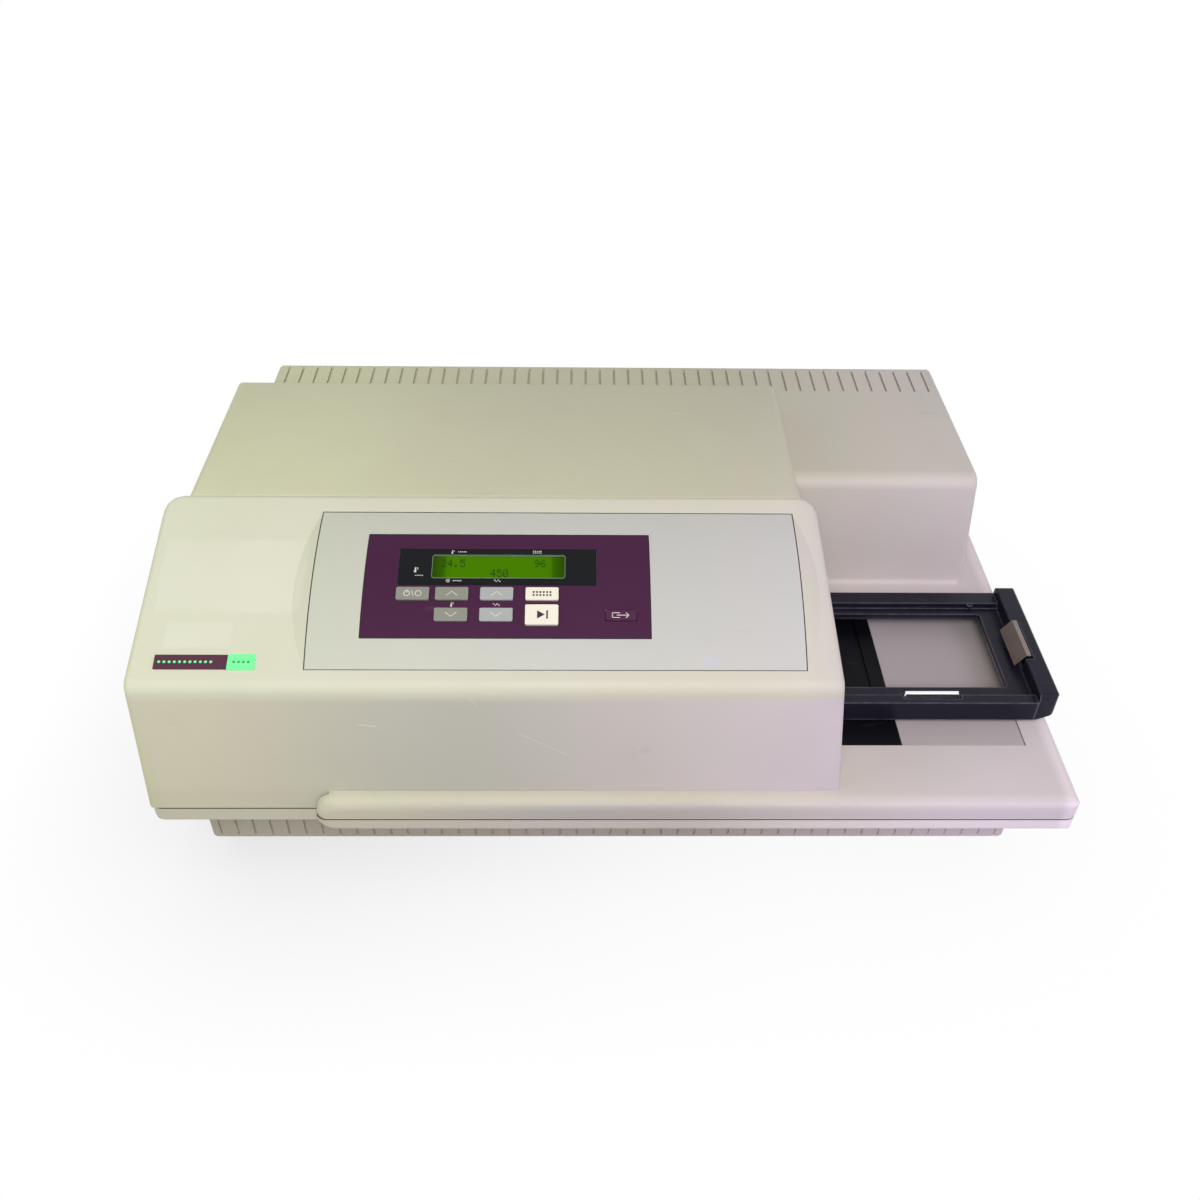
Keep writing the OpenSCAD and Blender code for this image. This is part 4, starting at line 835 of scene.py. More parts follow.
class Sketch:
    """A mesh under construction, made only with mesh operators."""

    # how far a bar runs past its ends, as a share of its width
    overrun = 0.3

    def __init__(self) -> None:
        """Starts empty."""
        self.mesh = bmesh.new()

    def bar(self, start: Sequence[float], end: Sequence[float], width: float, height: float) -> None:
        """Adds a flat bar between two points of the sketch plane.

        Args:
            start: Its first end, (u, v).
            end: Its second end, (u, v).
            width: Its width.
            height: Its height.
        """
        a, b = Vector((*start, 0.0)), Vector((*end, 0.0))
        span = b - a
        middle = (a + b) / 2 + Vector((0, 0, height / 2))
        turn = Matrix.Rotation(math.atan2(span.y, span.x), 4, "Z")
        size = Matrix.Diagonal((span.length + width * self.overrun, width, height, 1.0))
        bmesh.ops.create_cube(self.mesh, size=1.0, matrix=Matrix.Translation(middle) @ turn @ size)

    def disc(self, centre: Sequence[float], radius: float, height: float, sides: int = 24, turn: float = 0.0) -> None:
        """Adds a disc, or a plain polygon when it has few sides.

        Args:
            centre: Its centre, (u, v).
            radius: Its radius.
            height: Its height.
            sides: Number of its sides.
            turn: Its turn in degrees.
        """
        place = Matrix.Translation((centre[0], centre[1], height / 2)) @ Matrix.Rotation(math.radians(turn), 4, "Z")
        shape = {"segments": sides, "radius1": radius, "radius2": radius, "depth": height}
        bmesh.ops.create_cone(self.mesh, cap_ends=True, cap_tris=False, matrix=place, **shape)

    def ring(self, centre: Sequence[float], radius: float, width: float, height: float, sides: int = 32) -> None:
        """Adds a flat ring, a full spin of its section.

        Args:
            centre: Its centre, (u, v).
            radius: Radius of its middle line.
            width: Its width.
            height: Its height.
            sides: Steps of the spin.
        """
        place = (
            Matrix.Translation((centre[0] + radius, centre[1], height / 2))
            @ Matrix.Rotation(math.pi / 2, 4, "X")
            @ Matrix.Diagonal((width / 2, height / 2, 1.0, 1.0))
        )
        made = bmesh.ops.create_grid(self.mesh, x_segments=1, y_segments=1, size=1.0, matrix=place)
        faces = list({f for v in made["verts"] for f in v.link_faces})
        edges = list({e for f in faces for e in f.edges})
        bmesh.ops.delete(self.mesh, geom=faces, context="FACES_ONLY")
        about = {"cent": (centre[0], centre[1], 0.0), "axis": (0, 0, 1), "angle": math.tau}
        bmesh.ops.spin(self.mesh, geom=edges, steps=sides, use_merge=True, **about)

    def box(self, low: Sequence[float], high: Sequence[float], rounding: float = 0.0) -> None:
        """Adds a box with rounded edges.

        Args:
            low: Its lowest corner.
            high: Its highest corner.
            rounding: Radius of its edges.
        """
        a, b = Vector(low), Vector(high)
        place = Matrix.Translation((a + b) / 2) @ Matrix.Diagonal((*(b - a), 1.0))
        made = bmesh.ops.create_cube(self.mesh, size=1.0, matrix=place)
        if rounding > 0:
            edges = list({e for v in made["verts"] for e in v.link_edges})
            shape = {"offset": rounding, "offset_type": "OFFSET", "segments": 3, "profile": 0.5}
            bmesh.ops.bevel(self.mesh, geom=edges, affect="EDGES", material=-1, **shape)

    def place_points(self, where: Callable[[Vector], Vector]) -> None:
        """Moves every point."""
        for vert in self.mesh.verts:
            vert.co = where(vert.co)

    def finish(self, name: str, material: bpy.types.Material, body: str, slot: str) -> bpy.types.Object:
        """Turns the sketch into a piece that rides on a body.

        Args:
            name: Name of the piece.
            material: Its material.
            body: The CAD body that it rides on.
            slot: Not used.

        Returns:
            The object.
        """
        bmesh.ops.recalc_face_normals(self.mesh, faces=self.mesh.faces)
        data = bpy.data.meshes.new(name)
        self.mesh.to_mesh(data)
        self.mesh.free()
        made = put(name, data)
        data.materials.append(material)
        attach(made, body)
        LOG.info("piece %s: %d faces on body %s", name, len(data.polygons), body)
        return made


@dataclass(frozen=True)
class Crown:
    """The control panel's curved face: a cylinder along x, let into the hood's slope.

    Attributes:
        slope: Slope of the hood's top, in radians.
        centre: The panel's centre on the slope plane, in the row frame.
        radius: Radius of the crown.
        rise: Rise of the crown over the slope.
    """

    slope: float = math.radians(20.9414)
    centre: tuple[float, float, float] = (-0.03575, -0.1130, 0.1926231)
    radius: float = 0.21371875
    rise: float = 0.007

    def point(self, spot: Vector) -> Vector:
        """Places a point of the panel's sheet in the row frame.

        Args:
            spot: Across the panel, up the crown and out of it, in metres.

        Returns:
            The place in the row frame.
        """
        angle = spot.y / self.radius
        reach = self.radius + spot.z
        y = reach * math.sin(angle)
        z = self.rise - self.radius + reach * math.cos(angle)
        turned = Matrix.Rotation(self.slope, 3, "X") @ Vector((spot.x, y, z))
        return Vector(self.centre) + turned

    def frame(self, u: float, v: float, top: float) -> Matrix:
        """Gives the flat frame of a spot on the crown.

        Args:
            u: Across the panel.
            v: Up the crown.
            top: Out of the crown.

        Returns:
            The matrix from the spot's flat frame to the row frame.
        """
        return (
            Matrix.Translation(self.centre)
            @ Matrix.Rotation(self.slope, 4, "X")
            @ Matrix.Translation((u, 0, self.rise - self.radius))
            @ Matrix.Rotation(-v / self.radius, 4, "X")
            @ Matrix.Translation((0, 0, self.radius + top))
        )


class Softener:
    """Rounds the sharp edges of a CAD node and shades its faces smoothly, by modifiers only."""

    join_within = 0.000004
    smooth_under = math.radians(28)
    round_over = math.radians(50)

    def __init__(self) -> None:
        """Builds the node group that joins points and sets the shading."""
        self.group = self._build()

    def _build(self) -> bpy.types.NodeTree:
        """Builds the shading group.

        Returns:
            The group.
        """
        tree = bpy.data.node_groups.new("soft_shading", "GeometryNodeTree")
        for way in ("INPUT", "OUTPUT"):
            tree.interface.new_socket(name="Geometry", in_out=way, socket_type="NodeSocketGeometry")
        w = TreeWriter(tree)
        shape = w.add("NodeGroupInput").outputs[0]
        shape = w.add("GeometryNodeMergeByDistance", {"Geometry": shape, "Distance": self.join_within}).outputs[0]
        angle = w.add("GeometryNodeInputMeshEdgeAngle").outputs["Unsigned Angle"]
        flat = {"A": angle, "B": self.smooth_under}
        keep = w.add("FunctionNodeCompare", flat, data_type="FLOAT", operation="LESS_THAN").outputs["Result"]
        shape = w.add("GeometryNodeSetShadeSmooth", {"Geometry": shape}).outputs[0]
        edges = {"Geometry": shape, "Shade Smooth": keep}
        shape = w.add("GeometryNodeSetShadeSmooth", edges, domain="EDGE").outputs[0]
        w.add("NodeGroupOutput", {0: shape})
        return tree

    def soften(self, node: bpy.types.Object, width: float) -> None:
        """Adds the modifiers.

        Args:
            node: The CAD node's object.
            width: Width of the rounding; none if zero.
        """
        node.modifiers.new("soft_shading", "NODES").node_group = self.group
        if width > 0:
            bevel = node.modifiers.new("edge_rounding", "BEVEL")
            bevel.width = width
            bevel.segments = 2
            bevel.limit_method = "ANGLE"
            bevel.angle_limit = self.round_over
            bevel.use_clamp_overlap = True
            bevel.harden_normals = True


# ------------------------------------------------------------------ sub-assemblies


@dataclass
class Dressing:
    """How the CAD nodes of one sub-assembly look.

    Attributes:
        finishes: Finish to the names of its nodes, with spaces between them.
        rounding: Node name to the width of its edge rounding, in metres.
        usual: Rounding of the nodes that aren't named.
    """

    finishes: dict[Finish, str]
    rounding: dict[str, float] = field(default_factory=dict)
    usual: float = 0.0003


@dataclass
class SubAssembly:
    """Base of the sub-assemblies: it dresses CAD nodes and builds pieces.

    Attributes:
        shop: Gives materials.
        softener: Rounds edges.
        nodes: The frame's CAD nodes.
    """

    dressing: ClassVar[Dressing]
    shop: MaterialShop
    softener: Softener
    nodes: dict[str, bpy.types.Object]

    def build(self) -> None:
        """Dresses the CAD nodes, then builds the pieces."""
        for finish, names in self.dressing.finishes.items():
            for name in names.split():
                node = self.nodes[name]
                node.data.materials.clear()
                node.data.materials.append(self.shop.get(finish))
                self.softener.soften(node, self.dressing.rounding.get(name, self.dressing.usual))
                LOG.info("node %s: %s", name, finish.name)
        self.pieces()

    def pieces(self) -> None:
        """Builds the pieces that the CAD frame doesn't have."""


@dataclass
class Housing(SubAssembly):
    """Base pan, feet, case halves, hood, badge strip and screws."""

    dressing: ClassVar[Dressing] = Dressing(
        {
            Palette.pan: "base_pan",
            Palette.rubber: "rubber_feet",
            Palette.case: "lower_case upper_cover",
            Palette.hood: "front_hood",
            Palette.badge_plum: "badge_plate",
            Palette.badge_mint: "badge_tab",
            Palette.screw: "case_screws",
            Palette.deck: "deck_plate",
            Palette.sill: "drawer_sill",
        },
        {"upper_cover": 0.0005, "front_hood": 0.0007, "lower_case": 0.0006, "badge_plate": 0.0002, "badge_tab": 0.0002},
    )
    badge_centre: tuple[float, ...] = (-0.26925, -0.1595, 0.17483)
    badge_top: float = 0.00085
    dot_height: float = 0.00005
    # name, finish, slot, start, count, pitch and radius of each row of dots
    rows: tuple = (
        ("badge_dots", Palette.badge_mint, "badge_mint", 0.0030, 11, 0.0030, 0.00085),
        ("badge_tab_dots", Palette.badge_green, "badge_mint", 0.0462, 4, 0.0028, 0.0008),
    )

    def pieces(self) -> None:
        """Builds the badge strip's plain dots."""
        turn = Matrix.Rotation(Crown.slope, 4, "X")
        tilt = Matrix.Translation(self.badge_centre) @ turn @ Matrix.Translation((0, 0, self.badge_top))
        for name, finish, slot, start, count, pitch, radius in self.rows:
            sketch = Sketch()
            for i in range(count):
                sketch.disc((start + i * pitch, 0.0), radius, self.dot_height, sides=16)
            sketch.place_points(lambda p: tilt @ p)
            sketch.finish(name, self.shop.get(finish), "case", slot)


@dataclass(frozen=True)
class Drawing:
    """A plain generic sign about its own middle, in millimetres.

    Attributes:
        bars: Both ends, u and v, and the width.
        rings: Middle, radius, width and number of sides.
        discs: Middle, radius, number of sides and turn in degrees.
    """

    bars: tuple[tuple[float, ...], ...] = ()
    rings: tuple[tuple[float, ...], ...] = ()
    discs: tuple[tuple[float, ...], ...] = ()

    def draw(self, sketch: Sketch, height: float, u: float = 0.0, v: float = 0.0, size: float = 1.0) -> None:
        """Draws the sign.

        Args:
            sketch: The sketch.
            height: Height of the print, in metres.
            u: The sign's middle across, in metres.
            v: Its middle upwards, in metres.
            size: Its scale.
        """
        unit = size * MM
        for u0, v0, u1, v1, width in self.bars:
            sketch.bar((u + u0 * unit, v + v0 * unit), (u + u1 * unit, v + v1 * unit), width * unit, height)
        for x, y, radius, width, sides in self.rings:
            sketch.ring((u + x * unit, v + y * unit), radius * unit, width * unit, height, sides)
        for x, y, radius, sides, turn in self.discs:
            sketch.disc((u + x * unit, v + y * unit), radius * unit, height, sides, turn)


def chevron(way: int) -> Drawing:
    """Gives an open arrow head."""
    return Drawing(bars=tuple((side * 3.3, -1.3 * way, 0, 1.3 * way, 0.36) for side in (-1, 1)))


def ripple(count: int = 16, step: float = 0.4) -> Drawing:
    """Gives a wave line.

    Args:
        count: Number of its bars.
        step: Width of a bar.

    Returns:
        The sign.
    """
    xs = [(i - count / 2) * step for i in range(count + 1)]
    steps = [(x, 1.2 * math.sin(x * 1.96)) for x in xs]
    return Drawing(bars=tuple((*a, *b, 0.42) for a, b in zip(steps, steps[1:])))


class Sign(Enum):
    """The generic signs."""

    UP = chevron(1)
    DOWN = chevron(-1)
    WAVE = ripple()
    POWER = Drawing(
        bars=((-3.4, 0.5, -3.4, 2.4, 0.45), (0.6, -1.9, -0.6, 1.9, 0.35)),
        rings=((-3.4, 0, 1.7, 0.42, 32), (3.4, 0, 1.7, 0.42, 32)),
    )
    GRID = Drawing(discs=tuple((2 * i - 5, 2 * j - 1, 0.66, 12, 0) for i in range(6) for j in range(2)))
    PLAY = Drawing(bars=((3.2, -2.5, 3.2, 2.5, 1.0),), discs=((-1.2, 0, 3.0, 3, -90.0),))
    DRAWER = Drawing(
        bars=(
            *((-5.2, v, -0.8, v, 0.4) for v in (-1.5, 1.5)),
            (-5.2, -1.5, -5.2, 1.5, 0.4),
            (-2.6, 0, 4.4, 0, 0.45),
            *((2.8, v, 4.6, 0, 0.45) for v in (-1.6, 1.6)),
        )
    )
    THERMOMETER = Drawing(
        bars=((0, -1.4, 0, 2.0, 0.8), *((1.0, v, 2.2, v, 0.3) for v in (0.2, 1.0, 1.8))),
        discs=((0, -1.5, 1.0, 16, 0),),
    )
    TARGET = Drawing(rings=((0, 0, 1.3, 0.35, 24),), discs=((0, 0, 0.5, 12, 0),))
    DOTS = Drawing(discs=tuple(((i - 2) * 1.5, 0, 0.5, 12, 0) for i in range(5)))


@dataclass(frozen=True)
class KeySpot:
    """A key of the panel.

    Attributes:
        node: The CAD node and body.
        u: Its centre across the panel.
        v: Its centre up the crown.
        top: Height of its face over the crown.
        sign: Which generic mark it carries.
    """

    node: str
    u: float
    v: float
    top: float
    sign: Sign


@dataclass
class ControlPanel(SubAssembly):
    """Crowned panel, overlay, display and keys with generic marks."""

    dressing: ClassVar[Dressing] = Dressing(
        {
            Palette.panel: "control_panel",
            Palette.overlay: "keypad_overlay",
            Palette.lens: "display_lens",
            Palette.display: "lcd_glass",
            Palette.board: "lcd_module keypad_board",
            Palette.key_grey: "key_temp_switch key_temp_up key_temp_down",
            Palette.key_blue: "key_wave_up key_wave_down",
            Palette.key_cream: "key_plate_format key_read",
            Palette.key_plum: "key_drawer",
        },
        {"control_panel": 0.0005, "keypad_overlay": 0.00015, "display_lens": 0.0001, "lcd_glass": 0.0002},
        0.00035,
    )
    crown: Crown = Crown()
    print_height: float = 0.00006
    print_lift: float = 0.00002
    window: tuple[float, ...] = (-0.0355, 0.0115)
    window_half: tuple[float, ...] = (0.0400, 0.00825)
    window_depth: float = -0.00089
    # width, height and cut corner of the window's rim
    rim: tuple[float, ...] = (0.00034, 0.00012, 0.0011)
    # middle along u, half width, half length and width of a dark strip of painted shade in a gap
    gaps: tuple = ((0.0, 0.14665, 0.0550, 0.00048), (-0.030, 0.0856, 0.0358, 0.00042))
    gap_steps: int = 28
    gap_height: float = 0.00005
    keys: tuple = (
        KeySpot("key_temp_switch", -0.0860, -0.0076, 0.0009, Sign.POWER),
        KeySpot("key_temp_up", -0.0627, -0.0076, 0.0009, Sign.UP),
        KeySpot("key_temp_down", -0.0627, -0.0212, 0.0009, Sign.DOWN),
        KeySpot("key_wave_up", -0.0360, -0.0076, 0.0009, Sign.UP),
        KeySpot("key_wave_down", -0.0360, -0.0212, 0.0009, Sign.DOWN),
        KeySpot("key_plate_format", -0.0090, -0.0076, 0.0009, Sign.GRID),
        KeySpot("key_read", -0.0090, -0.0214, 0.0015, Sign.PLAY),
        KeySpot("key_drawer", 0.0380, -0.0212, 0.000225, Sign.DRAWER),
    )
    # five by seven dot figures, one number per row, highest bit at the left
    figures: ClassVar[dict[str, tuple[int, ...]]] = {
        "0": (14, 17, 19, 21, 25, 17, 14),
        "2": (14, 17, 1, 2, 4, 8, 31),
        "4": (2, 6, 10, 18, 31, 2, 2),
        "5": (31, 16, 30, 1, 1, 17, 14),
        "6": (6, 8, 16, 30, 17, 17, 14),
        "9": (14, 17, 17, 15, 1, 2, 12),
        ".": (0, 0, 0, 0, 0, 12, 12),
    }
    # text, column and row of what the display shows
    readings: tuple = (("24.5", 1, 0), ("96", 16, 0), ("450", 9, 1))
    figure_left: float = -0.0725
    figure_rows: tuple[float, ...] = (0.0028, -0.0043)
    figure_pitch: float = 0.00375
    figure_dot: float = 0.00056
    figure_height: float = 0.00004
    # sign, u, v and scale of the printed signs between the keys and round the display
    spots: tuple = (
        (Sign.THERMOMETER, -0.0627, -0.0145, 0.62),
        (Sign.WAVE, -0.0360, -0.0145, 0.62),
        (Sign.THERMOMETER, -0.0855, 0.0090, 0.8),
        (Sign.DOTS, -0.0830, 0.0050, 0.7),
        (Sign.THERMOMETER, -0.0640, 0.0222, 0.55),
        (Sign.DOTS, -0.0580, 0.0222, 0.75),
        (Sign.TARGET, -0.0655, 0.0014, 0.8),
        (Sign.DOTS, -0.0600, 0.0014, 0.75),
        (Sign.DOTS, -0.0125, 0.0228, 0.75),
        (Sign.DOTS, -0.0125, 0.0216, 0.75),
        (Sign.WAVE, -0.0360, 0.0014, 0.62),
    )

    def pieces(self) -> None:
        """Builds the keys' and the overlay's marks, the display's figures and rim, and the painted shade in the panel's
        gaps.
        """
        for key in self.keys:
            self._key_mark(key)
        self._overlay_marks()
        self._figures()
        self._window_rim()
        self._gap_shade()

    def _bend(self, sketch: Sketch, lift: float) -> None:
        """Lays a flat sketch on the crown."""
        sketch.place_points(lambda p: self.crown.point(Vector((p.x, p.y, p.z + lift))))

    def _key_mark(self, key: KeySpot) -> None:
        """Builds the mark of a key.

        Args:
            key: The key.
        """
        sketch = Sketch()
        key.sign.value.draw(sketch, self.print_height)
        # a key's face is flat, so its mark is too
        tilt = self.crown.frame(key.u, key.v, key.top)
        sketch.place_points(lambda p: tilt @ p)
        dark = key.sign in (Sign.GRID, Sign.PLAY)
        material = self.shop.get(Palette.print_dark if dark else Palette.print_cream)
        sketch.finish("mark_" + key.node, material, key.node, "lens_black" if dark else "key_cream")

    def _overlay_marks(self) -> None:
        """Builds the printed signs of the overlay."""
        sketch = Sketch()
        for sign, u, v, size in self.spots:
            sign.value.draw(sketch, self.print_height, u, v, size)
        self._bend(sketch, self.print_lift)
        sketch.finish("overlay_marks", self.shop.get(Palette.print_cream), "case", "key_cream")

    def _figures(self) -> None:
        """Builds the dots of the display's figures."""
        sketch = Sketch()
        dot = self.figure_dot
        for text, column, row in self.readings:
            for place, sign in enumerate(text):
                for line, bits in enumerate(self.figures[sign]):
                    for bit in range(5):
                        if bits >> (4 - bit) & 1:
                            u = self.figure_left + (column + place) * self.figure_pitch + (bit - 2) * dot * 1.08
                            v = self.figure_rows[row] - (line - 3) * dot * 1.38
                            ends = (u - dot * 0.36, v), (u + dot * 0.36, v)
                            sketch.bar(*ends, dot * 1.2, self.figure_height)
        tilt = self.crown.frame(0.0, self.window[1], self.window_depth)
        sketch.place_points(lambda p: tilt @ p)
        sketch.finish("display_figures", self.shop.get(Palette.ink), "case", "lens_black")

    def _window_rim(self) -> None:
        """Builds the thin rim round the display window."""
        sketch = Sketch()
        (u, v), (far_u, far_v), (width, height, cut) = self.window, self.window_half, self.rim
        near_u, near_v = far_u - cut, far_v - cut
        for side in (-1, 1):
            bars = [(-near_u, side * far_v, near_u, side * far_v), (side * far_u, -near_v, side * far_u, near_v)]
            bars += [(side * near_u, end * far_v, side * far_u, end * near_v) for end in (-1, 1)]
            for u0, v0, u1, v1 in bars:
                sketch.bar((u + u0, v + v0), (u + u1, v + v1), width, height)
        self._bend(sketch, self.print_lift)
        sketch.finish("display_rim", self.shop.get(Palette.window_rim), "case", "lens_black")

    def _gap_shade(self) -> None:
        """Builds dark strips in the gaps round the panel and the overlay: painted shade."""
        sketch = Sketch()
        for middle, half_u, half_v, width in self.gaps:
            for side in (-1, 1):
                u, v = middle + side * half_u, side * half_v
                # short bars, so that the painted shade follows the crown
                for i in range(self.gap_steps):
                    low, high = (half_v * (2 * k / self.gap_steps - 1) for k in (i, i + 1))
                    sketch.bar((u, low), (u, high), width, self.gap_height)
                sketch.bar((middle - half_u, v), (middle + half_u, v), width, self.gap_height)
        self._bend(sketch, 0.0)
        sketch.finish("panel_gap_shade", self.shop.get(Palette.gap_shade), "case", "lens_black")


@dataclass
class PlateDrawer(SubAssembly):
    """Drawer frame, end cap, clips and the carriage under the hood."""

    dressing: ClassVar[Dressing] = Dressing(
        {
            Palette.drawer: "drawer_frame drawer_end_cap",
            Palette.spring: "end_clip",
            Palette.spring_painted_highlight: "front_clip",
            Palette.black: "rod_blocks",
            Palette.aluminium: "belt_clamp",
        },
        {"drawer_frame": 0.0, "drawer_end_cap": 0.0016, "end_clip": 0.0001, "front_clip": 0.0001},
    )
    fold_width: float = 0.0022
    fold_thick: float = 0.0006
    # how far the fold keeps from the clip's left, right and back, and how far it stands over it
    fold_inset: tuple[float, ...] = (0.0012, 0.0004, 0.0006)
    fold_proud: float = 0.0001

    def pieces(self) -> None:
        """Builds the folded upper edge of the front clip."""
        low, high = (Vector(c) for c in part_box("front_clip"))
        left, right, back = self.fold_inset
        a = (low.x + left, high.y - back - self.fold_width, high.z - self.fold_thick)
        sketch = Sketch()
        sketch.box(a, (high.x - right, high.y - back, high.z + self.fold_proud), self.fold_thick * 0.35)
        sketch.finish("front_clip_fold", self.shop.get(Palette.spring_painted_highlight), "front_clip", "spring_steel")


@dataclass
class Drive(SubAssembly):
    """Guide rods, motor, pulleys and belt."""

    dressing: ClassVar[Dressing] = Dressing(
        {
            Palette.steel: "guide_rods idler_post",
            Palette.aluminium: "rod_brackets motor_pulley idler_pulley",
            Palette.dark_metal: "drawer_motor",
            Palette.rubber: "drive_belt",
        }
    )


@dataclass
class Optics(SubAssembly):
    """Lamp, filter wheel, monochromator, reading head and heaters."""

    dressing: ClassVar[Dressing] = Dressing(
        {
            Palette.dark_metal: (
                "lamp_housing filter_motor filter_wheel monochromator_body monochromator_lid grating_motor"
            ),
            Palette.lamp: "flash_lamp",
            Palette.ruled: "grating",
            Palette.black: "fibre_bundle",
            Palette.aluminium: "read_head",
            Palette.heater: "lower_heater upper_heater",
            Palette.board: "detector_board",
        }
    )


@dataclass
class Electronics(SubAssembly):
    """Boards, supply, fan and the connectors of the rear panel."""

    dressing: ClassVar[Dressing] = Dressing(
        {
            Palette.aluminium: "chassis_plate power_supply",
            Palette.board: "main_board",
            Palette.grey_metal: "rear_panel",
            Palette.black: "fan_frame fan_rotor power_inlet switch_body switch_rocker",
            Palette.steel: "serial_port",
        }
    )
    blade: tuple[float, ...] = (0.002, 0.013, 0.004)
    blade_start: float = 0.0078
    # the blades' middles from the inlet's, in x and z
    blades: tuple = ((-0.007, -0.002), (0.0, 0.002), (0.007, -0.002))
    pin_half: float = 0.0005
    pin_reach: tuple[float, ...] = (0.0029, 0.0004)
    pin_pitch: float = 0.00277
    row_pitch: float = 0.0028

    def pieces(self) -> None:
        """Builds the inlet's pins and the port's pins."""
        low, high = (Vector(c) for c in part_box("power_inlet"))
        middle = (low + high) / 2
        size = Vector(self.blade)
        sketch = Sketch()
        for dx, dz in self.blades:
            a = Vector((middle.x + dx - size.x / 2, low.y + self.blade_start, middle.z + dz - size.z / 2))
            sketch.box(a, a + size, 0.0003)
        sketch.finish("inlet_pins", self.shop.get(Palette.steel), "case", "steel")
        low, high = (Vector(c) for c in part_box("serial_port"))
        middle = (low + high) / 2
        half, (start, end) = self.pin_half, self.pin_reach
        pins = Sketch()
        for row, count in ((0, 5), (1, 4)):
            for i in range(count):
                x = middle.x + (i - (count - 1) / 2) * self.pin_pitch
                z = middle.z + (0.5 - row) * self.row_pitch
                pins.box((x - half, high.y - start, z - half), (x + half, high.y - end, z + half), 0.0002)
        pins.finish("port_pins", self.shop.get(Palette.steel), "case", "steel")


# ------------------------------------------------------------------ stage


@dataclass(frozen=True)
class Viewpoint:
    """The camera.

    Attributes:
        place: Its place in the row frame.
        down: Its pitch below the horizon, in degrees.
        yaw: Its turn to the right, in degrees.
        roll: Its roll, in degrees.
        lens: Focal length in millimetres over a 36 mm sensor.
    """

    place: tuple[float, float, float] = (-0.02225, -0.6544, 0.6458)
    down: float = 40.47
    yaw: float = 1.3
    roll: float = 1.02
    lens: float = 35.04

    def make(self) -> None:
        """Creates the camera and makes it the scene's."""
        data = bpy.data.cameras.new("camera")
        data.lens = self.lens
        data.sensor_width = 36.0
        data.clip_start = 0.02
        data.clip_end = 20.0
        camera = put("camera", data)
        yaw, down, roll = (math.radians(v) for v in (self.yaw, self.down, self.roll))
        forward = Vector((math.sin(yaw) * math.cos(down), math.cos(yaw) * math.cos(down), -math.sin(down)))
        right = Vector((math.cos(yaw), -math.sin(yaw), 0.0))
        up = right.cross(forward)
        side = right * math.cos(roll) + up * math.sin(roll)
        top = up * math.cos(roll) - right * math.sin(roll)
        turn = Matrix((side, top, -forward)).transposed().to_4x4()
        camera.matrix_world = Matrix.Translation(self.place) @ turn
        bpy.context.scene.camera = camera
        LOG.info("camera at %s", self.place)


@dataclass(frozen=True)
class SoftBox:
    """A large soft light.

    Attributes:
        name: Its name.
        place: Where it is.
        target: What it points at.
        size: Its side.
        power: Its power in watts.
        colour: Its linear colour.
    """

    name: str
    place: tuple[float, float, float]
    target: tuple[float, float, float]
    size: float
    power: float
    colour: Colour = (1.0, 1.0, 1.0)

    def make(self) -> None:
        """Creates the light."""
        data = bpy.data.lights.new(self.name, "AREA")
        data.shape = "SQUARE"
        data.size = self.size
        data.energy = self.power
        data.color = self.colour
        light = put(self.name, data)
        aim = Vector(self.target) - Vector(self.place)
        light.matrix_world = Matrix.Translation(self.place) @ aim.to_track_quat("-Z", "Y").to_matrix().to_4x4()
        LOG.info("light %s", self.name)


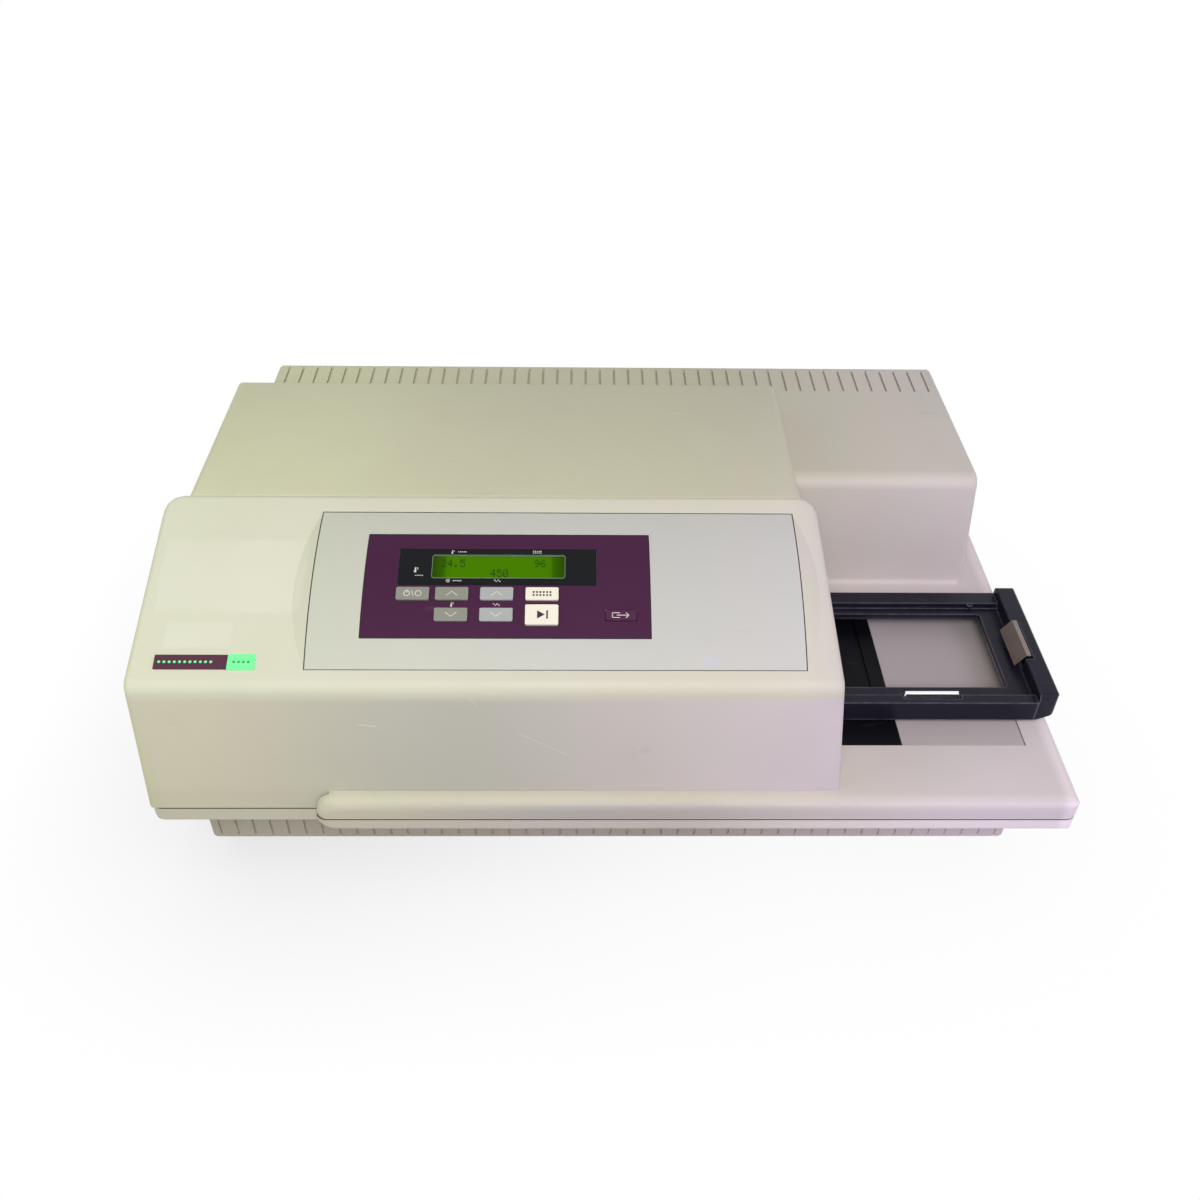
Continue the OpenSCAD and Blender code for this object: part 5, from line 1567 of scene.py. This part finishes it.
@dataclass
class Studio:
    """White floor, soft light and colour management."""

    boxes: tuple = (
        SoftBox("key_box", (0.10, -1.15, 1.30), (0.0, -0.02, 0.12), 0.9, 16.5, (1.0, 0.995, 0.98)),
        SoftBox("left_box", (-1.30, -0.5, 0.9), (-0.15, -0.05, 0.1), 0.8, 3.2, (1.0, 1.0, 0.93)),
        SoftBox("right_box", (1.30, -0.5, 0.8), (0.2, -0.05, 0.1), 0.8, 3.6, (1.0, 0.95, 1.0)),
    )
    white: Colour = (1.0, 1.0, 1.0)
    ambient: Colour = (0.335, 0.335, 0.33)
    floor_paint: Colour = (0.5, 0.5, 0.5)
    shade_reach: float = 0.16
    shade_depth: tuple[float, ...] = (0.32, 0.07)
    shade_reach_x: tuple[float, ...] = (-0.35, 0.15)
    floor_side: float = 9.0
    floor_unevenness: float = 1.06

    def make(self) -> None:
        """Builds the stage."""
        scene = bpy.context.scene
        scene.render.engine = "CYCLES"
        scene.view_settings.view_transform = "Standard"
        scene.view_settings.look = "None"
        scene.render.film_transparent = False
        world = bpy.data.worlds.new("studio")
        world.use_nodes = True
        scene.world = world
        w = TreeWriter(world.node_tree)
        seen = w.mix(self._seen(w), self.ambient, self.white)
        ground = w.add("ShaderNodeBackground", {"Color": seen, "Strength": 1.0})
        w.add("ShaderNodeOutputWorld", {"Surface": ground.outputs[0]})
        self._floor()
        for box in self.boxes:
            box.make()

    @staticmethod
    def _seen(w: TreeWriter) -> Socket:
        """Gives 1 where the background is seen, straight, mirrored or through glass, and 0 where it only lights.

        Args:
            w: The tree's writer.

        Returns:
            The socket.
        """
        path = w.add("ShaderNodeLightPath").outputs
        mirrored = w.maths("MAXIMUM", path["Is Glossy Ray"], path["Is Transmission Ray"])
        return w.maths("MAXIMUM", path["Is Camera Ray"], mirrored)

    def _floor(self) -> None:
        """Builds the floor, which is seen white apart from the object's shadow."""
        mesh = bmesh.new()
        bmesh.ops.create_grid(mesh, x_segments=4, y_segments=4, size=self.floor_side / 2)
        data = bpy.data.meshes.new("floor")
        mesh.to_mesh(data)
        mesh.free()
        floor = put("floor", data)
        material = bpy.data.materials.new("floor_white")
        material.use_nodes = True
        w = TreeWriter(material.node_tree)
        place = w.add("ShaderNodeTexCoord").outputs["Object"]
        paler = tuple(c * self.floor_unevenness for c in self.floor_paint)
        tint = w.mix(w.noise(place, 1.5, 2.0), self.floor_paint, paler)
        paint = w.add("ShaderNodeBsdfDiffuse", {"Color": tint, "Roughness": 0.4})
        near = w.add("ShaderNodeAmbientOcclusion", {"Distance": self.shade_reach}, samples=12).outputs["AO"]
        depth = w.remap(w.split(place)["X"], *self.shade_reach_x, *self.shade_depth)
        shade = w.maths("SUBTRACT", 1.0, w.maths("MULTIPLY", depth, w.maths("SUBTRACT", 1.0, near)))
        glow = w.add("ShaderNodeEmission", {"Color": self.white, "Strength": shade})
        blend = w.add("ShaderNodeMixShader", {0: self._seen(w), 1: paint.outputs[0], 2: glow.outputs[0]})
        w.add("ShaderNodeOutputMaterial", {"Surface": blend.outputs[0]})
        data.materials.append(material)
        LOG.info("floor and world")


def main() -> None:
    """Builds the looks in order."""
    logging.basicConfig(level=logging.INFO, format="%(message)s")
    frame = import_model()
    Viewpoint().make()
    Studio().make()
    shop, softener, nodes = MaterialShop(), Softener(), frame["nodes"]
    for kind in (Housing, ControlPanel, PlateDrawer, Drive, Optics, Electronics):
        LOG.info("sub-assembly %s", kind.__name__)
        kind(shop, softener, nodes).build()


if __name__ == "__main__":
    main()
